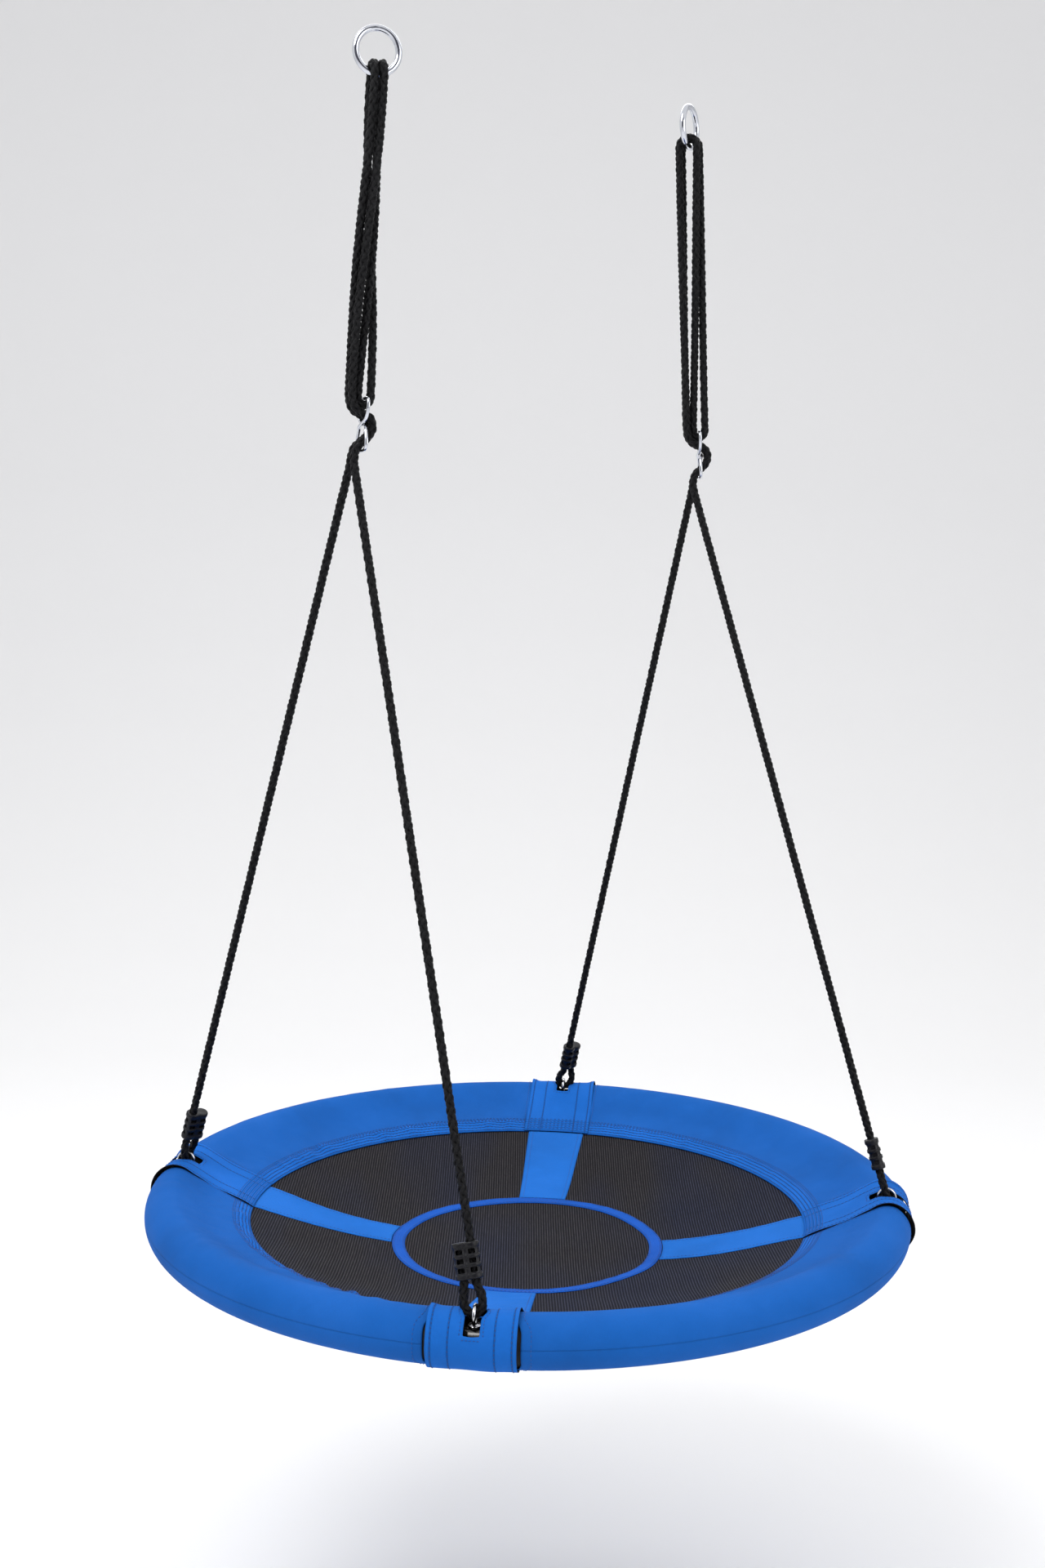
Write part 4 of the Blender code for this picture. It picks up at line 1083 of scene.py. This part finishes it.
COVER_STRENGTH = {1: 1.1, 2: 2.4, 3: 3.4, 4: 0.9}
for k, az in enumerate((0.0, 90.0, 180.0, 270.0), start=1):
    q, r, z = section(COVER_R, MESH_EDGE_R, 1.5 * MM, 2.9 * MM)
    n = 200
    t = np.linspace(-1, 1, n)
    t = np.sign(t) * (1 - (1 - np.abs(t)) ** 1.15)
    T, Q = np.meshgrid(t, q, indexing="ij")
    R0 = np.broadcast_to(r, T.shape)
    Z0 = np.broadcast_to(z, T.shape)
    A = np.radians(az + T * (45.0 - cover_end(R0)))
    mid = ring_point(R0, Z0, A)
    nrm = surface_normals(mid, A)
    seam_q = float(np.interp(-math.radians(12.0), -np.arctan2(z[8:-8], r[8:-8] - RIM_R), q[8:-8]))
    hold = np.clip(np.minimum(Q, q[-1] - Q) / (14 * MM), 0, 1) * (0.35 + 0.65 * np.clip((1 - np.abs(T)) * 6, 0, 1))
    st = COVER_STRENGTH[k]
    wv = wave_field(100 + k, A, Q, q[-1] * 0.36, st * 1.15) + 0.3 * wave_field(300 + k, A, q[-1] - Q, q[-1] * 0.36, min(st, 1.2))
    wv *= 1 - 0.85 * np.clip((Q - seam_q + 12 * MM) / (16 * MM), 0, 1) * np.clip((q[-1] - 90 * MM - Q) / (20 * MM), 0, 1)
    # a taut skirt dips a little between the rim and the mesh
    skirt = np.exp(-(((Q - 58 * MM) / (26 * MM)) ** 2)) + np.exp(-(((q[-1] - Q - 58 * MM) / (26 * MM)) ** 2))
    lift = hold * wv - 3.6 * MM * skirt
    # the outer seam pinches the sleeve
    lift += 2.6 * MM * np.exp(-np.abs(Q - seam_q) / (13 * MM)) - 0.7 * MM * np.exp(-(((Q - seam_q) / (2.0 * MM)) ** 2))
    on_rim = np.clip((R0 - 0.452) / 0.02, 0, 1)
    lift = np.where(on_rim > 0, np.maximum(lift, -0.25 * MM * on_rim - 6 * MM * (1 - on_rim)), lift)
    # the lips lie down on the mesh
    lift = lift - 0.55 * MM * np.exp(-Q / (3 * MM))
    # the ends lie flat below the straps
    under = np.clip(((1 - np.abs(T)) * (45.0 - cover_end(R0)) * np.pi / 180 * R0 - 8 * MM) / (18 * MM), 0, 1)
    lift = lift * under - 0.25 * MM * (1 - under)
    mid = mid + nrm * lift[..., None]
    nrm = surface_normals(mid, A)
    U = (A - math.radians(az)) * RIM_R
    # faces below the outer seam take the darker copy of the cover blue, painted shade for the rim's underside
    oi = np.zeros((n - 1, len(q) - 1), int)
    oi[:, (q[:-1] + 2 * MM) > seam_q] = 1
    o = two_sided(f"rim_sleeve_{k}", mid, nrm, 1.3 * MM, U, Q, [COVER_MAT, COVER_UNDER_SHADED, LINER_MAT], oi.ravel(), 0, 2)
    weld(o)
    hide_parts(f"rim_cover_{k}")
    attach(o, "seat")
    face = mid + nrm * 0.65 * MM

    def line_at(qv, trim=1.0):
        f = np.interp(qv, q, np.arange(len(q)))
        j = int(f)
        w = f - j
        sel = np.abs(t) <= trim
        return (face[sel, j] * (1 - w) + face[sel, j + 1] * w), nrm[sel, j]

    for row in range(5):
        p, nn = line_at((3.0 + 5.0 * row) * MM)
        stitch_lines.append((p, nn, 6.0 * MM, 0, 0.46 * MM))
    for dq in (-2.6, 2.6):
        p, nn = line_at(seam_q + dq * MM)
        stitch_lines.append((p, nn, 5.2 * MM, 0, 0.46 * MM))
    # each end is hemmed
    for sgn in (-1, 1):
        i = 5 if sgn < 0 else n - 6
        sel = (q > 4 * MM) & (q < q[-1] - 4 * MM)
        stitch_lines.append((face[i, sel], nrm[i, sel], 5.0 * MM, 1, 0.42 * MM))


# -------------------------------------------------------------------- straps
def strap_section(step=3.0 * MM):
    q, r, z = section(STRAP_R + 0.9 * MM, MESH_EDGE_R - 1 * MM, 5.0 * MM, step)
    return q, r, z


for k in range(4):
    q, r, z = strap_section()
    # where the top of the rim is, along the strap
    q_top = q[np.argmax(z)]
    slot_lo, slot_hi = q_top - 25.0 * MM, q_top + 35.0 * MM
    fine = np.concatenate([slot_lo + np.array([-1.2, 0.0, 0.25, 0.8, 1.8]) * MM, slot_hi + np.array([-1.8, -0.8, -0.25, 0.0, 1.2]) * MM])
    keep = (np.abs(q - slot_lo) > 2.6 * MM) & (np.abs(q - slot_hi) > 2.6 * MM)
    q2 = np.sort(np.concatenate([q[keep], fine]))
    r2, z2 = np.interp(q2, q, r), np.interp(q2, q, z)
    inside = np.clip(np.minimum(q2 - slot_lo, slot_hi - q2), 0, None)
    w_slot = 9.0 * MM * np.clip(inside / (0.9 * MM), 0, 1) ** 0.5
    near_q = np.clip(np.abs(q2 - q_top) / (15.0 * MM), 0, 1)
    bulge = 4.4 * MM * np.cos(np.pi / 2 * near_q) ** 2
    w_slot = np.where(inside > 0, w_slot + bulge, 0.0)
    halves = []
    m = len(q2)
    cols = 15
    g = np.random.default_rng(50 + k)
    ph = g.uniform(0, 6.28, 4)
    for sgn in (-1, 1):
        c = np.linspace(0, 1, cols) ** 0.9
        if sgn < 0:
            c = c[::-1]
        W = w_slot[None, :] + (STRAP_W / 2 - w_slot[None, :]) * c[:, None]
        X = sgn * W
        R0 = np.broadcast_to(r2, X.shape)
        Z0 = np.broadcast_to(z2, X.shape)
        Q = np.broadcast_to(q2, X.shape)
        A = math.radians(EYE_AZ[k]) + X / R0
        mid = ring_point(R0, Z0, A)
        nrm = surface_normals(mid, A)
        d_slot = W - w_slot[None, :]
        near = np.exp(-(((Q - q_top) / (30 * MM)) ** 2))
        lift = -0.9 * MM * np.exp(-d_slot / (7 * MM)) * near * (np.abs(X) < 40 * MM)
        lift = lift + 0.35 * MM * np.sin(X / (9 * MM) + ph[0]) * np.sin(Q / (37 * MM) + ph[1])
        outer = np.clip((Q - q_top + 25 * MM) / (30 * MM), 0, 1) * np.clip((q2[-1] * 0.62 - Q) / (30 * MM), 0, 1)
        lift = lift + (0.4 + 3.0 * outer) * MM * np.exp(-(((np.abs(X) - 49 * MM) / (7 * MM)) ** 2))
        skirt = np.exp(-(((Q - 58 * MM) / (26 * MM)) ** 2)) + np.exp(-(((q2[-1] - Q - 58 * MM) / (26 * MM)) ** 2))
        lift = lift - 2.6 * MM * skirt
        lift *= np.clip(np.minimum(Q, q2[-1] - Q) / (14 * MM), 0.1, 1)
        lift = lift - 0.9 * MM * np.exp(-Q / (4 * MM))
        mid = mid + nrm * lift[..., None]
        nrm = surface_normals(mid, A)
        halves.append((sgn, X, Q, mid, nrm, A))
    # the two halves meet along the middle line wherever there is no slot
    (s0, X0, Q0, mid0, nrm0, A0), (s1, X1, Q1, mid1, nrm1, A1) = halves
    mid = np.concatenate([mid0, mid1])
    nrm = np.concatenate([nrm0, nrm1])
    X = np.concatenate([X0, X1])
    Q = np.concatenate([Q0, Q1])
    n = 2 * cols
    closed = w_slot == 0
    av = (nrm[cols - 1] + nrm[cols]) / 2
    av /= np.linalg.norm(av, axis=1)[:, None]
    nrm[cols - 1, closed] = av[closed]
    nrm[cols, closed] = av[closed]
    ctr = (mid[cols - 1] + mid[cols]) / 2
    mid[cols - 1, closed] = ctr[closed]
    mid[cols, closed] = ctr[closed]
    thick = 1.3 * MM
    out = (mid + nrm * thick / 2).reshape(-1, 3)
    inn = (mid - nrm * thick / 2).reshape(-1, 3)
    base = n * m
    fo, fe = [], []
    mi = []
    for i in range(n - 1):
        if i == cols - 1:
            # the slot's two walls
            for j in range(m - 1):
                if not (closed[j] and closed[j + 1]):
                    a, b = i * m + j, i * m + j + 1
                    c2, d2 = (i + 1) * m + j, (i + 1) * m + j + 1
                    fe.append((a, a + base, b + base, b))
                    fe.append((d2, d2 + base, c2 + base, c2))
            continue
        for j in range(m - 1):
            a, b, c2, d2 = i * m + j, i * m + j + 1, (i + 1) * m + j + 1, (i + 1) * m + j
            fo.append((a, b, c2, d2))
    fo = np.array(fo)
    fi = fo[:, ::-1] + base
    for i in range(n - 1):
        if i == cols - 1:
            continue
        for j in (0, m - 1):
            a, b = i * m + j, (i + 1) * m + j
            fe.append((a, b, b + base, a + base))
    for i in (0, n - 1):
        for j in range(m - 1):
            a, b = i * m + j, i * m + j + 1
            fe.append((a, a + base, b + base, b))
    fe = np.array(fe)
    faces = np.concatenate([fo, fi, fe])
    Uf, Vf = X.ravel(), Q.ravel()
    Uall, Vall = np.r_[Uf, Uf], np.r_[Vf, Vf + 0.002]
    uv = np.stack([Uall[faces], Vall[faces]], -1).reshape(-1, 2)
    mi = np.concatenate([np.zeros(len(fo), int), np.ones(len(fi), int), np.ones(len(fe), int)])
    o = mesh_object("strap_wrap_" + EYE_NAMES[k], np.concatenate([out, inn]), faces, uv, [STRAP_MAT, LINER_MAT], mi)
    weld(o, 2e-6)
    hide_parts("strap_" + EYE_NAMES[k])
    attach(o, "seat")
    face = mid + nrm * thick / 2

    def strap_line(xs, qs):
        """Points on the strap's face at (x, q), by the nearest column."""
        pts, nn = [], []
        for xv, qv in zip(xs, qs):
            j = int(np.clip(np.searchsorted(q2, qv), 1, m - 1))
            wj = (qv - q2[j - 1]) / (q2[j] - q2[j - 1])
            colx = X[:, j]
            half = slice(0, cols) if xv < 0 else slice(cols, n)
            xs_h = colx[half]
            i = int(np.clip(np.searchsorted(xs_h, xv), 1, cols - 1))
            wi = np.clip((xv - xs_h[i - 1]) / max(1e-9, xs_h[i] - xs_h[i - 1]), 0, 1)
            o0 = 0 if xv < 0 else cols
            a = face[o0 + i - 1] * (1 - wi) + face[o0 + i] * wi
            b = nrm[o0 + i]
            pts.append(a[j - 1] * (1 - wj) + a[j] * wj)
            nn.append(b[j])
        return np.array(pts), np.array(nn)

    long_q = np.arange(2 * MM, q2[-1] - 2 * MM, 3 * MM)
    for xv in (-44.0, -25.0, 25.0, 44.0):
        stitch_lines.append((*strap_line(np.full(len(long_q), xv * MM), long_q), 5.2 * MM, 0, 0.42 * MM))
    # around the slot
    for off in (3.6,):
        lo, hi = slot_lo - off * MM, slot_hi + off * MM
        qq = np.arange(lo, hi, 2 * MM)
        ww = np.interp(qq, q2, w_slot)
        ww = np.maximum(ww, 9 * MM) + off * MM
        for sgn in (-1, 1):
            stitch_lines.append((*strap_line(sgn * ww, qq), 4.2 * MM, 0, 0.38 * MM))
        for qv in (lo, hi):
            xs = np.arange(-12.0, 12.1, 1.5) * MM
            stitch_lines.append((*strap_line(xs, np.full(len(xs), qv)), 4.2 * MM, 0, 0.38 * MM))
    for row in range(5):
        xs = np.arange(-47.0, 47.1, 3.0) * MM
        stitch_lines.append((*strap_line(xs, np.full(len(xs), (6.0 + 5.0 * row) * MM)), 6.0 * MM, 0, 0.46 * MM))


# ------------------------------------------------------- seat mesh and bands
def sag(r):
    k = np.minimum(1.0, r / MESH_EDGE_R)
    return -MESH_SAG * (1 - k**3) ** 1.2


def ripple(x, y, r):
    """Slack in the weave between the bands."""
    fade = np.clip((MESH_EDGE_R - r) / 0.05, 0, 1)
    v = 0.613 * x + 0.790 * y
    w = 0.790 * x - 0.613 * y
    a = np.sin(v * 46 + 1.5 * np.sin(w * 9)) * np.sin(w * 7 + 0.7)
    b = np.sin(v * 23 - w * 8 + 0.4)
    return fade * (0.50 * a + 0.40 * b) * MM


def mesh_z(r, x, y):
    return MESH_Z + sag(r) + ripple(x, y, r) * 2.2


n, m = 192, 80
rr = np.concatenate([[0.0015], np.linspace(0.008, MESH_R, m - 1)])
az = 2 * np.pi * np.arange(n) / n
Rg, Ag = np.meshgrid(rr, az, indexing="ij")
X, Y = Rg * np.cos(Ag), Rg * np.sin(Ag)
Zm = SEAT_Z + mesh_z(Rg, X, Y)
top = np.stack([SEAT_X + X, Y, Zm + 0.5 * MM], -1)
bot = np.stack([SEAT_X + X, Y, Zm - 0.5 * MM], -1)
ft = grid_faces(m, n, False, True)
fb = grid_faces(m, n, False, True, m * n)[:, ::-1]
j = np.arange(n)
j2 = (j + 1) % n
e = (m - 1) * n
fe = np.stack([j + e, j2 + e, j2 + e + m * n, j + e + m * n], -1)
o = mesh_object("seat_mesh_sheet", np.concatenate([top.reshape(-1, 3), bot.reshape(-1, 3)]), np.concatenate([ft, fb, fe]), None, [MESH_MAT])
bm = bmesh.new()
bm.from_mesh(o.data)
bm.verts.ensure_lookup_table()
bm.faces.new([bm.verts[i] for i in range(n)])
bm.faces.new([bm.verts[m * n + i] for i in reversed(range(n))])
bmesh.ops.recalc_face_normals(bm, faces=bm.faces[:])
for fc in bm.faces:
    fc.smooth = True
bm.to_mesh(o.data)
bm.free()
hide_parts("seat_mesh")
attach(o, "seat")

# centre band: a ring of webbing sewn on the mesh
n, m = 240, 9
rr = np.linspace(BAND_IN, BAND_OUT, m)
az = 2 * np.pi * np.arange(n) / n
Ag, Rg = np.meshgrid(az, rr, indexing="ij")
X, Y = Rg * np.cos(Ag), Rg * np.sin(Ag)
edge = np.minimum(Rg - BAND_IN, BAND_OUT - Rg)
Zb = SEAT_Z + mesh_z(Rg, X, Y) + 0.6 * MM + 0.1 * MM
topz = Zb + 1.3 * MM - 0.7 * MM * np.exp(-edge / (0.9 * MM)) + 0.25 * MM * np.sin(Ag * 37) * np.sin(Ag * 5)
top = np.stack([SEAT_X + X, Y, topz], -1)
bot = np.stack([SEAT_X + X, Y, Zb], -1)
ft = grid_faces(n, m, True, False)
fb = grid_faces(n, m, True, False, n * m)[:, ::-1]
i = np.arange(n)
i2 = (i + 1) % n
fe1 = np.stack([i * m, i2 * m, i2 * m + n * m, i * m + n * m], -1)
fe2 = np.stack([i2 * m + m - 1, i * m + m - 1, i * m + m - 1 + n * m, i2 * m + m - 1 + n * m], -1)
faces = np.concatenate([ft, fb, fe1, fe2])
Ug, Vg = (Ag * 0.1655).ravel(), Rg.ravel()
uvv = np.stack([np.r_[Ug, Ug][faces], np.r_[Vg, Vg][faces]], -1)
wrapf = (uvv[..., 0].max(1) - uvv[..., 0].min(1)) > 0.5
fix = uvv[..., 0][wrapf]
fix[fix < 0.5] += 2 * np.pi * 0.1655
uvv[wrapf, :, 0] = fix
o = mesh_object("centre_band_webbing", np.concatenate([top.reshape(-1, 3), bot.reshape(-1, 3)]), faces, uvv.reshape(-1, 2), [CENTRE_MAT])
weld(o)
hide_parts("centre_band")
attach(o, "seat")
for rv in (BAND_IN + 2.2 * MM, BAND_OUT - 2.2 * MM):
    a = np.linspace(0, 2 * np.pi, 361)
    X, Y = rv * np.cos(a), rv * np.sin(a)
    zz = SEAT_Z + mesh_z(np.full(361, rv), X, Y) + 2.0 * MM
    stitch_lines.append((np.stack([SEAT_X + X, Y, zz], 1), np.tile(Z, (361, 1)), 5.0 * MM, 0, 0.38 * MM))

for k in range(4):
    mid_a = math.radians(EYE_AZ[k])
    n, m = 25, 46
    t = np.linspace(-1, 1, n)
    rr = np.linspace(BAND_OUT + 1 * MM, MESH_EDGE_R + 3 * MM, m)
    T, Rg = np.meshgrid(t, rr, indexing="ij")
    half = (SPOKE_IN + (SPOKE_OUT - SPOKE_IN) * (Rg - BAND_OUT) / (MESH_EDGE_R - BAND_OUT)) / 2
    Ag = mid_a + T * half / Rg
    X, Y = Rg * np.cos(Ag), Rg * np.sin(Ag)
    edge = np.minimum((1 - np.abs(T)) * half, np.minimum(Rg - rr[0], rr[-1] - Rg) + 1 * MM)
    pucker = 0.22 * MM * np.sin(Rg * 260 + 3 * T) * np.sin(Rg * 61 + k)
    Zb = SEAT_Z + mesh_z(Rg, X, Y) + 0.68 * MM
    tz = Zb + 0.95 * MM - 0.45 * MM * np.exp(-edge / (0.8 * MM)) + pucker + 0.35 * MM * np.exp(-(((1 - np.abs(T)) * half - 4 * MM) / (1.6 * MM)) ** 2)
    top = np.stack([SEAT_X + X, Y, tz], -1)
    bot = np.stack([SEAT_X + X, Y, Zb], -1)
    U, V = (T * half), Rg
    ft = grid_faces(n, m)[:, ::-1]
    fb = grid_faces(n, m, base=n * m)
    loop = [(i, 0) for i in range(n)] + [(n - 1, jj) for jj in range(1, m)] + [(i, m - 1) for i in range(n - 2, -1, -1)] + [(0, jj) for jj in range(m - 2, 0, -1)]
    idx = np.array([i * m + jj for i, jj in loop])
    nxt = np.roll(idx, -1)
    fe = np.stack([nxt, idx, idx + n * m, nxt + n * m], -1)
    faces = np.concatenate([ft, fb, fe])
    Uf, Vf = U.ravel(), V.ravel()
    uv = np.stack([np.r_[Uf, Uf][faces], np.r_[Vf, Vf][faces]], -1).reshape(-1, 2)
    o = mesh_object("radial_" + EYE_NAMES[k], np.concatenate([top.reshape(-1, 3), bot.reshape(-1, 3)]), faces, uv, [RADIAL_MAT])
    weld(o)
    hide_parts("radial_band_" + EYE_NAMES[k])
    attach(o, "seat")
    for i in (2, n - 3):
        nn = np.tile(Z, (m, 1))
        stitch_lines.append((top[i], nn, 5.0 * MM, 1, 0.38 * MM))


# ------------------------------------------------------------------ stitches
def stitch_mesh(name, lines, mat):
    verts, faces, base = [], [], 0
    sides = 5
    al = 2 * np.pi * np.arange(sides) / sides
    for p, nn, pitch, _, rad in lines:
        p = np.asarray(p)
        s = np.r_[0, np.cumsum(np.linalg.norm(np.diff(p, axis=0), axis=1))]
        count = int(s[-1] / pitch)
        if count < 1:
            continue
        pos = np.array([0.0, 0.25, 0.5, 0.75, 1.0])
        lift = np.array([-0.30, 0.30, 0.42, 0.30, -0.30]) * MM
        rads = np.array([0.55, 1.0, 1.05, 1.0, 0.55]) * rad
        starts = (np.arange(count) + 0.5 * (s[-1] / pitch - count)) * pitch
        for a in starts:
            k = a + pos * pitch * 0.66
            q = np.stack([np.interp(k, s, p[:, i]) for i in range(3)], 1)
            nv = np.stack([np.interp(k, s, nn[:, i]) for i in range(3)], 1)
            nv /= np.linalg.norm(nv, axis=1)[:, None]
            d = q[-1] - q[0]
            d /= max(1e-9, np.linalg.norm(d))
            side = np.cross(d, nv)
            side /= np.linalg.norm(side, axis=1)[:, None]
            q = q + nv * lift[:, None]
            co = q[:, None] + rads[:, None, None] * (np.cos(al)[None, :, None] * side[:, None] + 0.75 * np.sin(al)[None, :, None] * nv[:, None])
            verts.append(co.reshape(-1, 3))
            faces.append(grid_faces(5, sides, False, True, base))
            base += 5 * sides
    return mesh_object(name, np.concatenate(verts), np.concatenate(faces), None, [mat])


for idx, (nm, mt) in enumerate((("stitching_dark", THREAD), ("stitching_light", THREAD_SOFT))):
    sel = [l for l in stitch_lines if l[3] == idx]
    o = stitch_mesh(nm, sel, mt)
    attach(o, "seat")

# hidden and carried-over CAD hardware
for name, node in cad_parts.items():
    base = name.split("_")[0]
    if base in ("nut", "screw", "spigot"):
        node.data.materials.clear()
        node.data.materials.append(ZINC)

# --------------------------------------------------------------------- stage
FLOOR_Z = SEAT_Z - 0.62
pts = []
for i in range(25):
    t = i / 24
    if t < 0.4:
        pts.append((-9.0 + 12.0 * t / 0.4, 0.0))
    elif t < 0.7:
        a = (t - 0.4) / 0.3 * math.pi / 2
        pts.append((3.0 + 1.6 * math.sin(a), 1.6 - 1.6 * math.cos(a)))
    else:
        pts.append((4.6, 1.6 + 7.0 * (t - 0.7) / 0.3))
verts, faces = [], []
view_dir = np.array([0.61257, 0.78460, 0.0])
view_dir /= np.linalg.norm(view_dir)
side_dir = np.array([view_dir[1], -view_dir[0], 0.0])
for d, h in pts:
    for sx in (-10.0, 10.0):
        verts.append(np.array([SEAT_X, 0, FLOOR_Z]) + view_dir * d + side_dir * sx + Z * h)
for i in range(len(pts) - 1):
    faces.append((2 * i, 2 * i + 1, 2 * i + 3, 2 * i + 2))
t = Tree("studio_floor", (0.93, 0.93, 0.935), 0.9)
floor = mesh_object("studio_floor", verts, faces, None, [t.m])

world = bpy.data.worlds.new("studio")
world.use_nodes = True
bg = world.node_tree.nodes["Background"]
bg.inputs[1].default_value = 0.92
wt = world.node_tree
tc = wt.nodes.new("ShaderNodeTexCoord")
dot = wt.nodes.new("ShaderNodeVectorMath")
dot.operation = "DOT_PRODUCT"
wt.links.new(tc.outputs["Generated"], dot.inputs[0])
dot.inputs[1].default_value = (-0.61 * 0.96, -0.78 * 0.96, 0.05)
wr = wt.nodes.new("ShaderNodeValToRGB")
wt.links.new(dot.outputs["Value"], wr.inputs[0])
wr.color_ramp.elements[0].position, wr.color_ramp.elements[0].color = 0.62, (1.0, 1.0, 1.0, 1)
wr.color_ramp.elements[1].position, wr.color_ramp.elements[1].color = 0.80, (0.10, 0.10, 0.12, 1)
wt.links.new(wr.outputs[0], bg.inputs[0])
scene.world = world


def area(name, loc, target, size, power):
    l = bpy.data.lights.new(name, "AREA")
    l.shape = "RECTANGLE"
    l.size, l.size_y = size
    l.energy = power
    o = bpy.data.objects.new(name, l)
    o.location = loc
    o.rotation_euler = (Vector(target) - Vector(loc)).to_track_quat("-Z", "Y").to_euler()
    scene.collection.objects.link(o)
    return o


ctr = np.array([SEAT_X, 0, SEAT_Z])
area("key", tuple(ctr - view_dir * 1.6 - side_dir * 1.5 + Z * 3.2), tuple(ctr + Z * 0.3), (2.2, 1.8), 70)
area("fill", tuple(ctr - view_dir * 2.0 + side_dir * 2.6 + Z * 1.6), tuple(ctr + Z * 0.4), (2.0, 2.0), 32)
area("back", tuple(ctr + view_dir * 2.2 + Z * 3.0), tuple(ctr), (3.0, 1.2), 34)
scene.view_settings.view_transform = "Standard"
scene.view_settings.look = "None"
